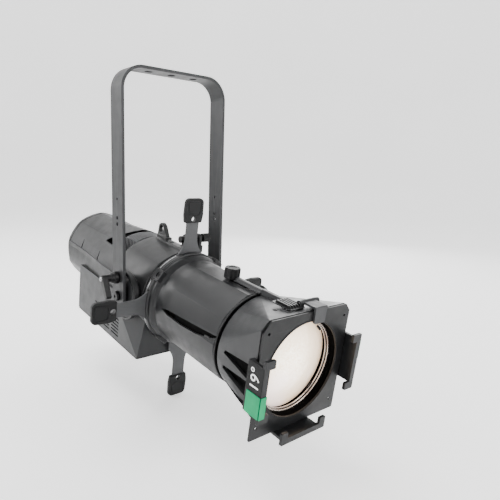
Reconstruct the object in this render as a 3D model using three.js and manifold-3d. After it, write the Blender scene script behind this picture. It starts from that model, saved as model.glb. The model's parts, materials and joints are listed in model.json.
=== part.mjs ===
// Ellipsoidal spotlight with a bent-strap yoke, four framing shutters and an LED light engine.
// Millimetres, +Z up. The origin is the centre of the yoke's top face, where the hanging bolt goes.
// The lens looks toward -Y. The head hangs in the yoke and is tilted nose-down by REST_TILT.
// Head pieces are drawn in the head frame: +Y runs back along the optical axis from the tilt pivot.
import * as THREE from 'three';
import { mergeVertices } from 'three/addons/utils/BufferGeometryUtils.js';
import Module from 'manifold-3d';

const wasm = await Module();
wasm.setup();

// ---- driving dimensions -------------------------------------------------------------------
const GAP = 0.3; // clearance between pieces that touch
const REST_TILT = THREE.MathUtils.degToRad(8);

const YOKE_HALF = 100; // outer half width over the legs
const STRAP_T = 5;
const STRAP_W = 36;
const STRAP_BEND = 38;
const PIVOT_DROP = 364.3; // yoke top face down to the tilt pivot
const LOCK_RISE = 31; // tilt lock lever above the pivot
const LEG_END = 18; // rounded leg end below the pivot
const HANG_PITCH = 43; // spacing of the holes in the top bar

const SHELL_R = 79; // front radius of the housing
const TAIL_R = 72.5; // rear radius of the housing
const SHELL_T = 3;
const SHELL_FRONT = -38;
const SHELL_REAR = 284;
const TAPER_START = 112;
const CAP_REAR = 297;
const SEAM_Z = 16; // height of the split between the two housing shells
const BOX_HALF = 80; // half width of the driver bay under the housing
const BOX_REAR = 205;
const BOX_BOTTOM = -100;
const SHOULDER_LOW = -46; // the bay's side walls lean in above this height
const SHOULDER_TOP = -19;
const COVER_T = 2.4;

const SHUTTER_R = 80; // shutter housing
const SHUTTER_BACK = -39.5;
const SHUTTER_FRONT = -67;
const BLADE_T = 1.6;
const BLADE_PITCH = 2.4;
const BLADE_FIRST = -46.2; // centre plane of the rearmost shutter blade

const BARREL_R = 72;
const BARREL_T = 3.5;
const BARREL_END = -222;
const KNOB_SEAT = BARREL_R + 0.4;
const TUBE_R = 66.5; // lens tube that slides in the barrel
const FLARE_START = -230;
const PLATE_Y = -317; // rear face of the colour frame
const FRAME_SIDE = 158.75;
const FRAME_T = 2;
const APERTURE_R = 66;
const LENS_R = 66;

const CHANNEL_HALF = 33; // half length of an accessory channel along its side of the square
const CHANNEL_OUT = 89;
const CHANNEL_LIP = 80.5;
const CHANNEL_BACK = -310;
const CHANNEL_FRONT = -338;
const LUG_HALF = 41; // end lugs of a channel, past its web
const LUG_W = 11;
const LUG_REACH = 72;

const LATCH_X0 = 4; // the latch over the colour frame's top edge
const LATCH_X1 = 26;
const LATCH_HINGE_Y = -298;
const LATCH_HINGE_Z = 84.3;
const LATCH_FRONT = PLATE_Y - FRAME_T / 2 - GAP;

// ---- materials ----------------------------------------------------------------------------
function finish(color, roughness, metalness) {
  return new THREE.MeshStandardMaterial({ color, roughness, metalness });
}
const PAINT = finish(0x3a3b3d, 0.5, 0.4);
const DARK_PAINT = finish(0x232426, 0.55, 0.3);
const PLASTIC = finish(0x1b1c1d, 0.6, 0);
const STEEL = finish(0x9a9c9e, 0.35, 1);
const ALUMINIUM = finish(0x6d7073, 0.45, 1);
const GLASS = finish(0xf3efe4, 0.05, 0);
const BOARD = finish(0x1d4a2e, 0.5, 0);
const GREEN = finish(0x10d8a0, 0.5, 0);
const SCREEN = finish(0x20303a, 0.2, 0);

// ---- solid helpers ------------------------------------------------------------------------
function solid(geometry) {
  const bare = geometry.index ? geometry.toNonIndexed() : geometry.clone();
  bare.deleteAttribute('normal');
  bare.deleteAttribute('uv');
  const merged = mergeVertices(bare, 1e-4);
  return new wasm.Manifold(new wasm.Mesh({
    numProp: 3,
    vertProperties: new Float32Array(merged.attributes.position.array),
    triVerts: new Uint32Array(merged.index.array),
  }));
}

function geometryOf(body) {
  const mesh = body.getMesh();
  const geometry = new THREE.BufferGeometry();
  geometry.setAttribute('position', new THREE.BufferAttribute(mesh.vertProperties, 3));
  geometry.setIndex(new THREE.BufferAttribute(mesh.triVerts, 1));
  geometry.computeVertexNormals();
  return geometry;
}

const AXIS_TURNS = {
  x: new THREE.Matrix4().makeBasis(
    new THREE.Vector3(0, 1, 0), new THREE.Vector3(0, 0, 1), new THREE.Vector3(1, 0, 0)),
  y: new THREE.Matrix4().makeBasis(
    new THREE.Vector3(1, 0, 0), new THREE.Vector3(0, 0, 1), new THREE.Vector3(0, -1, 0)),
  z: new THREE.Matrix4(),
};

// A flat outline extruded along one axis between two coordinates of that axis.
// The outline is drawn in (y, z) for axis x, in (x, z) for axis y and in (x, y) for axis z.
function slab(axis, outline, from, to, curveSegments = 8) {
  const low = Math.min(from, to);
  const high = Math.max(from, to);
  const geometry = new THREE.ExtrudeGeometry(outline, {
    depth: high - low, bevelEnabled: false, curveSegments,
  });
  geometry.applyMatrix4(AXIS_TURNS[axis]);
  if (axis === 'x') geometry.translate(low, 0, 0);
  if (axis === 'y') geometry.translate(0, high, 0);
  if (axis === 'z') geometry.translate(0, 0, low);
  return solid(geometry);
}

function polygon(points) {
  return new THREE.Shape(points.map(([u, v]) => new THREE.Vector2(u, v)));
}

function disc(radius, u = 0, v = 0) {
  const shape = new THREE.Shape();
  shape.absarc(u, v, radius, 0, Math.PI * 2, false);
  return shape;
}

function roundRect(width, height, radius, u = 0, v = 0) {
  const w = width / 2;
  const h = height / 2;
  const shape = new THREE.Shape();
  shape.absarc(u + w - radius, v + h - radius, radius, 0, Math.PI / 2, false);
  shape.absarc(u - w + radius, v + h - radius, radius, Math.PI / 2, Math.PI, false);
  shape.absarc(u - w + radius, v - h + radius, radius, Math.PI, Math.PI * 1.5, false);
  shape.absarc(u + w - radius, v - h + radius, radius, Math.PI * 1.5, Math.PI * 2, false);
  return shape;
}

function block(x0, x1, y0, y1, z0, z1) {
  const geometry = new THREE.BoxGeometry(x1 - x0, y1 - y0, z1 - z0);
  geometry.translate((x0 + x1) / 2, (y0 + y1) / 2, (z0 + z1) / 2);
  return solid(geometry);
}

// A body turned about the optical axis: the profile lists [radius, y] corners from front to back.
function turned(profile, segments = 24, phase = 0) {
  const points = profile.map(([r, y]) => new THREE.Vector2(r, y));
  return solid(new THREE.LatheGeometry(points, segments, phase));
}

// A ring or tube: its profile closes on itself.
function ring(inner, outer, y0, y1, segments = 24) {
  return turned([[inner, y0], [outer, y0], [outer, y1], [inner, y1], [inner, y0]], segments);
}

function rod(axis, radius, from, to, u = 0, v = 0, segments = 8) {
  return slab(axis, disc(radius, u, v), from, to, segments);
}

function turnAboutY(body, degrees) {
  return body.rotate([0, degrees, 0]);
}

function union(bodies) {
  return bodies.reduce((sum, body) => sum.add(body));
}

function cut(body, tools) {
  return tools.reduce((rest, tool) => rest.subtract(tool), body);
}

// ---- scene graph --------------------------------------------------------------------------
const spotlight = new THREE.Group();
const head = new THREE.Group();
head.position.set(0, 0, -PIVOT_DROP);
head.rotation.x = REST_TILT;
spotlight.add(head);

function place(parent, name, body, material) {
  const mesh = new THREE.Mesh(geometryOf(body), material);
  mesh.name = name;
  parent.add(mesh);
}

// ---- yoke ---------------------------------------------------------------------------------
function yokeStrap() {
  const inner = YOKE_HALF - STRAP_T;
  const bend = STRAP_BEND - STRAP_T;
  const foot = -PIVOT_DROP - LEG_END;
  const outline = new THREE.Shape();
  outline.moveTo(YOKE_HALF, foot);
  outline.absarc(YOKE_HALF - STRAP_BEND, -STRAP_BEND, STRAP_BEND, 0, Math.PI / 2, false);
  outline.absarc(-YOKE_HALF + STRAP_BEND, -STRAP_BEND, STRAP_BEND, Math.PI / 2, Math.PI, false);
  outline.lineTo(-YOKE_HALF, foot);
  outline.lineTo(-inner, foot);
  outline.absarc(-YOKE_HALF + STRAP_BEND, -STRAP_BEND, bend, Math.PI, Math.PI / 2, true);
  outline.absarc(YOKE_HALF - STRAP_BEND, -STRAP_BEND, bend, Math.PI / 2, 0, true);
  outline.lineTo(inner, foot);
  const strap = slab('y', outline, -STRAP_W / 2, STRAP_W / 2, 6);

  const side = new THREE.Shape();
  side.moveTo(STRAP_W / 2, 1);
  side.lineTo(-STRAP_W / 2, 1);
  side.absarc(0, -PIVOT_DROP, STRAP_W / 2, Math.PI, Math.PI * 2, false);
  const rounded = strap.intersect(slab('x', side, -YOKE_HALF - 1, YOKE_HALF + 1, 10));

  const hang = [0, -HANG_PITCH, HANG_PITCH].map((x) => (
    slab('z', x === 0 ? disc(6.5) : roundRect(14, 10, 4.9, x, 0), -STRAP_T - 1, 1, 4)));
  const lockHeight = -PIVOT_DROP + LOCK_RISE;
  const legHoles = [
    rod('x', 5.4, -YOKE_HALF - 1, YOKE_HALF + 1, 0, -PIVOT_DROP, 5),
    rod('x', 4.4, -YOKE_HALF - 1, -inner + 1, 0, lockHeight, 5),
    rod('x', 3.5, -YOKE_HALF - 1, YOKE_HALF + 1, 0, lockHeight + 87, 4),
    rod('x', 3, -YOKE_HALF - 1, YOKE_HALF + 1, 0, lockHeight + 97, 4),
    rod('x', 2.2, -YOKE_HALF - 1, YOKE_HALF + 1, 0, lockHeight + 127, 4),
  ];
  return cut(rounded, [...hang, ...legHoles]);
}

// The lock lever: a hub on the leg, a stem outward and an arm that hangs down and forward.
const LEVER_LEAN = THREE.MathUtils.degToRad(28);
const LEVER_ARM = 42;

function tiltLever(z) {
  const face = -YOKE_HALF - GAP;
  const hub = rod('x', 10.5, face - 9, face, 0, z, 6);
  const stem = rod('x', 7, face - 29, face - 8, 0, z, 5);
  const arm = slab('x', roundRect(11, LEVER_ARM, 4, 0, -LEVER_ARM / 2 + 7), face - 29, face - 19, 3)
    .rotate([-LEVER_LEAN * 180 / Math.PI, 0, 0]).translate([0, 0, z]);
  const bore = rod('x', 4.3, face - 12, face + 1, 0, z, 5);
  return hub.add(stem).add(arm).subtract(bore);
}

const lockZ = -PIVOT_DROP + LOCK_RISE;
place(spotlight, 'yoke', yokeStrap(), PAINT);
place(spotlight, 'tilt_lever', tiltLever(lockZ), PLASTIC);
place(spotlight, 'tilt_lock_stud', rod('x', 4, -YOKE_HALF - 12, -86, 0, lockZ, 5), STEEL);

// ---- tilt trunnions -----------------------------------------------------------------------
// Each side plate carries the pivot bolt. The left one has the arc slot of the lock stud.
const PLATE_IN = 80.8;
const PLATE_OUT = 91;
const SLOT_NOSE_UP = 34.5;
const SLOT_NOSE_DOWN = 90.5;

function arcSlot(radius, half, fromDeg, toDeg) {
  const a = THREE.MathUtils.degToRad(fromDeg);
  const b = THREE.MathUtils.degToRad(toDeg);
  const shape = new THREE.Shape();
  shape.absarc(0, 0, radius + half, a, b, false);
  shape.absarc(0, 0, radius - half, b, a, true);
  return shape;
}

function trunnion(side) {
  const inner = side * PLATE_IN;
  const outer = side * PLATE_OUT;
  const plate = slab('x', disc(41), inner, outer, 8);
  const bore = rod('x', 5.3, side * 78, side * 94, 0, 0, 5);
  if (side > 0) return plate.subtract(bore);
  // In the head frame the stud stands REST_TILT behind the vertical.
  const upright = 90 - THREE.MathUtils.radToDeg(REST_TILT);
  const slot = slab('x', arcSlot(LOCK_RISE, 5, upright - SLOT_NOSE_DOWN, upright + SLOT_NOSE_UP),
    inner - 1, outer - 6.5, 10);
  return cut(plate, [bore, slot]);
}

for (const [name, side] of [['left', -1], ['right', 1]]) {
  const bolt = rod('x', 5, side * 82, side * (YOKE_HALF + GAP), 0, 0, 5)
    .add(rod('x', 8.5, side * (YOKE_HALF + GAP), side * (YOKE_HALF + 6), 0, 0, 6));
  const washer = cut(rod('x', 13, side * (PLATE_OUT + GAP), side * (YOKE_HALF - STRAP_T - GAP), 0, 0, 6),
    [rod('x', 5.4, side * 88, side * 99, 0, 0, 5)]);
  place(head, `tilt_plate_${name}`, trunnion(side), DARK_PAINT);
  place(head, `pivot_bolt_${name}`, bolt, STEEL);
  place(head, `friction_washer_${name}`, washer, PLASTIC);
}

// ---- housing ------------------------------------------------------------------------------
const BIG = 400;
const FACETS = 20;

function shellBody(inset) {
  const reach = inset > 0 ? 5 : 0;
  const round = turned([
    [0, SHELL_FRONT - reach],
    [SHELL_R - inset, SHELL_FRONT - reach],
    [SHELL_R - inset, TAPER_START],
    [TAIL_R - inset, 205],
    [TAIL_R - inset, SHELL_REAR + reach],
    [0, SHELL_REAR + reach],
  ], FACETS);
  const wall = BOX_HALF - inset;
  const floor = BOX_BOTTOM - (inset > 0 ? 5 : 0);
  const section = polygon([
    [-wall, floor], [wall, floor], [wall, SHOULDER_LOW], [wall - 5, SHOULDER_TOP - inset],
    [5 - wall, SHOULDER_TOP - inset], [-wall, SHOULDER_LOW],
  ]);
  return round.add(slab('y', section, SHELL_FRONT + inset, BOX_REAR - inset));
}

// Window in the upper shell that shows the fins, drawn in (y, z).
const WINDOW = polygon([[64, 51], [150, 51], [104, 82], [104, 100], [64, 100]]);

const shell = shellBody(0).subtract(shellBody(SHELL_T));
const above = block(-BIG, BIG, -BIG, BIG, SEAM_Z + GAP / 2, BIG);
const below = block(-BIG, BIG, -BIG, BIG, -BIG, SEAM_Z - GAP / 2);

const VENT_COLUMNS = [45, 80, 115];
const VENT_ROWS = 6;
const VENT_TOP = -60;
const VENT_PITCH = 6.2;
function sideVents() {
  const vents = [];
  for (const y of VENT_COLUMNS) {
    for (let row = 0; row < VENT_ROWS; row += 1) {
      const z = VENT_TOP - row * VENT_PITCH;
      vents.push(block(-BOX_HALF - 1, BOX_HALF + 1, y - 14, y + 14, z - 1.1, z + 1.1));
    }
  }
  return vents;
}

function sideSlots() {
  return [140, 224].map((y) => block(-BIG, BIG, y - 1.5, y + 1.5, SEAM_Z + 2, SEAM_Z + 17));
}

const upperShell = cut(shell.intersect(above), [
  slab('x', WINDOW, -BIG, BIG),
  ...sideSlots(),
]);
const lowerShell = cut(shell.intersect(below), sideVents());
place(head, 'housing_upper', upperShell, PAINT);
place(head, 'housing_lower', lowerShell, PAINT);
place(head, 'bottom_cover',
  block(-BOX_HALF, BOX_HALF, SHELL_FRONT, BOX_REAR, BOX_BOTTOM - GAP - COVER_T, BOX_BOTTOM - GAP),
  PAINT);

// ---- rear cap, with its controls and sockets ------------------------------------------------
const BUTTON_XS = [-21, -7, 7, 21];
const BUTTON_Z = 4;
const SOCKETS = [
  ['power_inlet', -37, -24, 12.5],
  ['power_outlet', -12, -38, 12.5],
  ['data_input', 16, -38, 11.5],
  ['data_output', 40, -24, 11.5],
];

function rearCap() {
  const dish = turned([
    [0, SHELL_REAR + GAP + 8],
    [TAIL_R - 3.5, SHELL_REAR + GAP + 8],
    [TAIL_R - 3.5, SHELL_REAR + GAP],
    [TAIL_R, SHELL_REAR + GAP],
    [TAIL_R, CAP_REAR - 6],
    [TAIL_R - 6, CAP_REAR],
    [0, CAP_REAR],
  ], FACETS);
  const air = [];
  for (let i = -4; i <= 4; i += 1) {
    air.push(slab('y', roundRect(4, 16 - Math.abs(i), 1.9, i * 8, 52), CAP_REAR - 20, CAP_REAR + 1, 2));
  }
  const screenCut = block(-32, 32, CAP_REAR - 20, CAP_REAR + 1, 14, 38);
  const buttonCuts = BUTTON_XS.map((x) => rod('y', 4.6, CAP_REAR - 20, CAP_REAR + 1, x, BUTTON_Z, 4));
  const socketCuts = SOCKETS.map(([, x, z, r]) => rod('y', r + GAP, CAP_REAR - 20, CAP_REAR + 1, x, z, 5));
  return cut(dish, [...air, screenCut, ...buttonCuts, ...socketCuts]);
}

function socket(x, z, r) {
  const body = rod('y', r, CAP_REAR - 26, CAP_REAR + 1.5, x, z, 5);
  const mouth = rod('y', r - 3, CAP_REAR - 14, CAP_REAR + 2, x, z, 4);
  const core = rod('y', 3.5, CAP_REAR - 15, CAP_REAR - 10, x, z, 3);
  return body.subtract(mouth).add(core);
}

place(head, 'rear_cap', rearCap(), PAINT);
place(head, 'control_display',
  block(-32 + GAP, 32 - GAP, CAP_REAR - 7, CAP_REAR - 0.6, 14 + GAP, 38 - GAP), SCREEN);
BUTTON_XS.forEach((x, i) => {
  const cap = rod('y', 4.2, CAP_REAR - 8, CAP_REAR + 1.4, x, BUTTON_Z, 4);
  const flange = rod('y', 5.6, CAP_REAR - 8, CAP_REAR - 5, x, BUTTON_Z, 4);
  place(head, `control_button_${i + 1}`, cap.add(flange), PLASTIC);
});
for (const [name, x, z, r] of SOCKETS) place(head, name, socket(x, z, r), PLASTIC);

// ---- light engine -------------------------------------------------------------------------
const FIN_PITCH = 5.4;
const FIN_T = 1.8;
const FIN_FIRST = 72;
const FIN_COUNT = 15;
const FIN_HALF = 34; // half width of the fin block, which has flat sides
const FIN_R = 73;
const FIN_TAPER = 0.2; // how fast the fins follow the narrowing shell behind TAPER_START

function finRadius(y) {
  return FIN_R - FIN_TAPER * Math.max(0, y - TAPER_START);
}

// Fins across the optical axis on a round core, in front of the fan and behind the light source.
function heatSink() {
  const core = turned([
    [0, 60], [52, 60], [52, 66], [30, 68], [24, 72], [24, 151], [0, 151],
  ], 20);
  const sides = block(-FIN_HALF, FIN_HALF, 60, 160, -70, 80);
  const fins = [];
  for (let i = 0; i < FIN_COUNT; i += 1) {
    const y = FIN_FIRST + i * FIN_PITCH;
    const r = finRadius(y + FIN_T);
    fins.push(turned([[0, y], [r, y], [r, y + FIN_T], [0, y + FIN_T]], 24).intersect(sides));
  }
  return union([core, ...fins]);
}

const FAN_HALF = 46;
const FAN_R = 42;
function fanFrame() {
  const plate = slab('y', roundRect(FAN_HALF * 2, FAN_HALF * 2, 6), 180, 204, 3);
  const open = turned([[0, 179], [FAN_R + 1.5, 179], [FAN_R + 1.5, 205], [0, 205]], 24);
  const struts = [45, 135].map((angle) => (
    turnAboutY(block(-FAN_R - 3, FAN_R + 3, 200.5, 204, -2.5, 2.5), angle)));
  const hub = turned([[0, 200.5], [17, 200.5], [17, 204], [0, 204]], 12);
  return union([plate.subtract(open), ...struts, hub]);
}

function fanRotor() {
  const hub = turned([[0, 182], [17, 182], [18, 184], [18, 200], [0, 200]], 14);
  const blades = [];
  for (let i = 0; i < 7; i += 1) {
    const blade = block(14, FAN_R, -8, 8, -1, 1).rotate([38, 0, 0]).translate([0, 191, 0]);
    blades.push(turnAboutY(blade, i * 360 / 7));
  }
  return union([hub, ...blades]);
}

place(head, 'heat_sink', heatSink(), ALUMINIUM);
place(head, 'fan_frame', fanFrame(), PLASTIC);
place(head, 'fan_rotor', fanRotor(), PLASTIC);
place(head, 'led_board', turned([[0, 56], [30, 56], [30, 60 - GAP], [0, 60 - GAP]], 20), BOARD);
place(head, 'collimator', turned([
  [0, 6], [44, 6], [46, 10], [26, 56 - GAP], [0, 56 - GAP],
], 20), GLASS);
place(head, 'gate_plate', cut(turned([[0, -34], [74, -34], [74, -31], [0, -31]], 24),
  [rod('y', 38, -36, -30, 0, 0, 8)]), DARK_PAINT);
place(head, 'driver_board', union([
  block(-66, 66, -20, 185, -92, -90),
  block(-55, -15, 20, 120, -91, -84),
  block(10, 50, 60, 150, -91, -84),
]), BOARD);

// ---- safety loop and barrel rotation lock ---------------------------------------------------
function safetyLoop() {
  const base = SHELL_R + GAP;
  const ear = slab('x', polygon([[4, base], [50, base], [50, base + 4], [46, base + 28],
    [38, base + 31], [31, base + 28], [18, base + 4], [4, base + 4]]), -2.5, 2.5);
  const foot = block(-12, 12, -8, 50, base, base + 3);
  const hole = rod('x', 5, -4, 4, 38.5, base + 20, 4);
  return ear.add(foot).subtract(hole);
}
place(head, 'safety_loop', safetyLoop(), PAINT);

const CLAMP_Y = -20;
const CLAMP_Z = 94;
const CLAMP_LUGS = [[8, 13], [33, 38]];
function clampLugs() {
  const lugs = CLAMP_LUGS.map(([x0, x1]) => (
    slab('x', roundRect(16, 36, 6, CLAMP_Y, CLAMP_Z - 9), x0, x1, 3)));
  const foot = block(4, 42, CLAMP_Y - 8, CLAMP_Y + 8, 70, 82);
  const skin = turned([[0, -60], [SHELL_R + GAP, -60], [SHELL_R + GAP, 20], [0, 20]], FACETS);
  const bore = rod('x', 3.4, 0, 50, CLAMP_Y, CLAMP_Z, 4);
  return cut(union([...lugs, foot]), [skin, bore]);
}
place(head, 'rotation_clamp', clampLugs(), DARK_PAINT);
place(head, 'rotation_lock_knob', union([
  rod('x', 3, 0, 44, CLAMP_Y, CLAMP_Z, 4),
  rod('x', 7.5, 42, 58, CLAMP_Y, CLAMP_Z, 6),
  rod('x', 6, -2, 7, CLAMP_Y, CLAMP_Z, 3),
]), PLASTIC);

// ---- shutter housing and the four framing shutters -------------------------------------------
const SHUTTERS = [
  // name, turn about the optical axis, plane order from the rear, pulled out from the stored depth
  ['top', 0, 1, 0],
  ['right', 90, 2, 0],
  ['bottom', 180, 0, 16],
  ['left', 270, 3, 0],
];
const STRIP_HALF = 12;
const FLARE_HALF = 22;
const GRIP_INNER = 130;
const GRIP_OUTER = 170;
const GRIP_T = 10;

function bladePlane(order) {
  return BLADE_FIRST - order * BLADE_PITCH;
}

function shutterBlade(y, shift) {
  const half = [[34, 20], [34, 46], [24, 54], [FLARE_HALF, 78], [15, 90], [STRIP_HALF, 102],
    [STRIP_HALF, GRIP_INNER + 20]];
  const outline = polygon([
    ...half.map(([x, z]) => [x, z + shift]),
    ...half.slice().reverse().map(([x, z]) => [-x, z + shift]),
  ]);
  return slab('y', outline, y - BLADE_T / 2, y + BLADE_T / 2)
    .subtract(rod('y', 4, y - 3, y + 3, 0, 136 + shift, 4));
}

function shutterGrip(y, shift) {
  const outline = new THREE.Shape();
  outline.moveTo(-16, GRIP_INNER + shift);
  outline.lineTo(16, GRIP_INNER + shift);
  outline.lineTo(18, GRIP_INNER + 12 + shift);
  outline.absarc(8, GRIP_OUTER - 9 + shift, 9, 0, Math.PI / 2, false);
  outline.absarc(-8, GRIP_OUTER - 9 + shift, 9, Math.PI / 2, Math.PI, false);
  outline.lineTo(-18, GRIP_INNER + 12 + shift);
  const body = slab('y', outline, y - GRIP_T / 2, y + GRIP_T / 2, 3);
  const socketCut = block(-STRIP_HALF - GAP, STRIP_HALF + GAP, y - BLADE_T / 2 - GAP,
    y + BLADE_T / 2 + GAP, GRIP_INNER - 5 + shift, GRIP_INNER + 20 + GAP + shift);
  return cut(body, [socketCut, rod('y', 4, y - 9, y + 9, 0, 136 + shift, 4)]);
}

for (const [name, turn, order, shift] of SHUTTERS) {
  const y = bladePlane(order);
  place(head, `shutter_blade_${name}`, turnAboutY(shutterBlade(y, shift), turn), STEEL);
  place(head, `shutter_grip_${name}`, turnAboutY(shutterGrip(y, shift), turn), PLASTIC);
}

function shutterFront() {
  const rim = turned([
    [42, -60], [42, SHUTTER_FRONT + 3], [70, SHUTTER_FRONT + 3], [70, SHUTTER_FRONT],
    [SHUTTER_R - 4, SHUTTER_FRONT], [SHUTTER_R, SHUTTER_FRONT + 4], [SHUTTER_R, -43.8],
    [SHUTTER_R - 3, -43.8], [SHUTTER_R - 3, -60], [42, -60],
  ], 32);
  const slots = SHUTTERS.map(([, turn, order]) => {
    const y = bladePlane(order);
    return turnAboutY(block(-25.5, 25.5, y - 1.15, y + 1.15, 60, 90), turn);
  });
  const bosses = [45, 135, 225, 315].map((angle) => (
    turnAboutY(block(-9, 9, SHUTTER_FRONT + 1, -62, 72, 82), angle + 3)));
  return cut(union([rim, ...bosses]), slots);
}

place(head, 'shutter_housing_rear', ring(42, SHUTTER_R, -43.5, SHUTTER_BACK, 32), DARK_PAINT);
place(head, 'shutter_housing_front', shutterFront(), PAINT);

// ---- barrel -------------------------------------------------------------------------------
const KNOB_Y = -161;
const KNOB_TRAVEL = 35;
const LOCK_KNOB_Y = -172;
const LOCK_KNOB_TURN = 50;
const SIDE_VENT = polygon([
  [-92, 6.5], [-104, 10.5], [-170, 14.5], [-226, 18.2], [-214, 12.5], [-180, 4.6], [-140, 1.8], [-106, 2.5],
]);

function barrelBody() {
  const back = SHUTTER_FRONT - GAP;
  const tube = turned([
    [BARREL_R - BARREL_T, back], [BARREL_R - BARREL_T, BARREL_END], [BARREL_R, BARREL_END],
    [BARREL_R, back - 4], [BARREL_R + 3, back], [BARREL_R - BARREL_T, back],
  ], 24);
  const knobSlot = block(-5, 5, KNOB_Y - KNOB_TRAVEL - 5, KNOB_Y + 7.5, 50, 90);
  const lockSlot = turnAboutY(
    block(-4, 4, LOCK_KNOB_Y - KNOB_TRAVEL - 5, LOCK_KNOB_Y + 7.5, 50, 90), LOCK_KNOB_TURN);
  const vents = [slab('x', SIDE_VENT, -90, -50), slab('x', SIDE_VENT, 50, 90)];
  return cut(tube, [knobSlot, lockSlot, ...vents]);
}
place(head, 'barrel', barrelBody(), PAINT);
const trimRing = ring(TUBE_R + 1.4, BARREL_R - 1, BARREL_END - GAP - 3, BARREL_END - GAP, 24);
place(head, 'barrel_trim_ring', trimRing, PLASTIC);

// ---- lens tube and focus hardware -----------------------------------------------------------
// Chamfered square, drawn in (x, z) from the right side round by the top.
function chamferedSquare(half, topCut, bottomCut) {
  return [
    [half, bottomCut - half], [half, half - topCut], [half - topCut, half], [topCut - half, half],
    [-half, half - topCut], [-half, bottomCut - half], [bottomCut - half, -half], [half - bottomCut, -half],
  ];
}

// The flare: a loft from the round tube to the chamfered square at the front. Each side of the
// square takes an eighth of the circle, which folds the surface into long triangular facets.
function flareSolid(radius, half, y0, y1) {
  const corners = chamferedSquare(half, FLARE_TOP_CUT, FLARE_BOTTOM_CUT);
  const perSide = 3;
  const count = corners.length * perSide;
  const front = [];
  const back = [];
  corners.forEach(([u, v], k) => {
    const [nextU, nextV] = corners[(k + 1) % corners.length];
    for (let step = 0; step < perSide; step += 1) {
      const t = step / perSide;
      const angle = (k - 0.5 + t) * Math.PI / 4;
      front.push([u + (nextU - u) * t, y1, v + (nextV - v) * t]);
      back.push([radius * Math.cos(angle), y0, radius * Math.sin(angle)]);
    }
  });
  const points = [...front, ...back, [0, y1, 0], [0, y0, 0]];
  const index = [];
  for (let i = 0; i < count; i += 1) {
    const j = (i + 1) % count;
    index.push(i, count + i, j, j, count + i, count + j);
    index.push(2 * count, i, j, 2 * count + 1, count + j, count + i);
  }
  const geometry = new THREE.BufferGeometry();
  geometry.setAttribute('position', new THREE.BufferAttribute(new Float32Array(points.flat()), 3));
  geometry.setIndex(index);
  return solid(geometry);
}

const FLARE_HALF_W = 80;
const FLARE_TOP_CUT = 11;
const FLARE_BOTTOM_CUT = 36;
const LOUVRE_ANGLES = [276, 259, 241, 223, 84, 101, 119, 137];
const FLARE_FRONT = PLATE_Y + FRAME_T + GAP;

function lensTube() {
  const outer = flareSolid(TUBE_R + 3.5, FLARE_HALF_W, FLARE_START, FLARE_FRONT);
  const inner = flareSolid(TUBE_R - 1, FLARE_HALF_W - 5, FLARE_START + 1, FLARE_FRONT - 1);
  const knuckles = [[LATCH_X0 - 7, LATCH_X0 - 0.5], [LATCH_X1 + 0.5, LATCH_X1 + 7]].map(([x0, x1]) => (
    block(x0, x1, LATCH_HINGE_Y - 3.5, LATCH_HINGE_Y + 3.5, 76, LATCH_HINGE_Z + 3.2)));
  const pinHole = rod('x', 1.9, LATCH_X0 - 9, LATCH_X1 + 9, LATCH_HINGE_Y, LATCH_HINGE_Z, 4);
  const sleeve = ring(TUBE_R - 3.5, TUBE_R, FLARE_START - 1, -118, 24);
  const windows = [];
  for (const angle of LOUVRE_ANGLES) {
    const opening = block(-8, 8, -299, -254, 60, 110);
    windows.push(turnAboutY(opening, angle));
  }
  const spine = slab('y', polygon([[-5, 66], [5, 66], [3.5, 79.5], [-3.5, 79.5]]), -276, FLARE_START);
  const hollow = outer.add(spine).subtract(inner);
  return cut(union([hollow, sleeve, ...knuckles.map((k) => k.subtract(inner))]), [...windows, pinHole]);
}
place(head, 'lens_tube', lensTube(), PAINT);

// The knob and the rail ride on the lens tube, over the slot in the barrel.
function focusKnob() {
  const grip = rod('z', 12.5, 0, 12.5, 0, KNOB_Y, 6);
  const flutes = [];
  for (let i = 0; i < 10; i += 1) {
    flutes.push(rod('z', 2, 2, 11, 13.2, 0, 3).rotate([0, 0, i * 36]).translate([0, KNOB_Y, 0]));
  }
  const stem = rod('z', 3.6, -5.5, 1, 0, KNOB_Y, 4);
  return cut(grip, flutes).add(stem).translate([0, 0, KNOB_SEAT]);
}
const RAIL_HALF = 6.5;
const RAIL_END = FLARE_START + 0.6;
function focusRail() {
  const top = BARREL_R + 2;
  const cover = block(-RAIL_HALF, RAIL_HALF, RAIL_END, KNOB_Y - 13, BARREL_R + 0.4, top);
  const profile = polygon([[-4, top - 1], [4, top - 1], [3, top + 4], [-3, top + 4]]);
  const ridge = slab('y', profile, RAIL_END, KNOB_Y - 14);
  return cover.add(ridge);
}
function lockKnob() {
  const knob = rod('z', 9, BARREL_R + 1.5, BARREL_R + 7, 0, LOCK_KNOB_Y, 6)
    .add(rod('z', 3.2, TUBE_R + 0.5, BARREL_R + 2, 0, LOCK_KNOB_Y, 4));
  return turnAboutY(knob, LOCK_KNOB_TURN);
}
place(head, 'focus_knob', focusKnob(), PLASTIC);
place(head, 'focus_rail', focusRail(), PAINT);
place(head, 'tube_lock_knob', lockKnob(), PLASTIC);

// ---- lenses -------------------------------------------------------------------------------
function lens(radius, y, edge, crown) {
  return turned([
    [0, y - crown], [radius * 0.5, y - crown * 0.78], [radius * 0.85, y - crown * 0.3], [radius, y],
    [radius, y + edge], [0, y + edge],
  ], 28);
}
const LENS_Y = -296;
place(head, 'front_lens', lens(LENS_R - 2, LENS_Y, 4, 12), GLASS);
place(head, 'rear_lens', lens(TUBE_R - 5, -150, 5, 10), GLASS);
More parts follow.
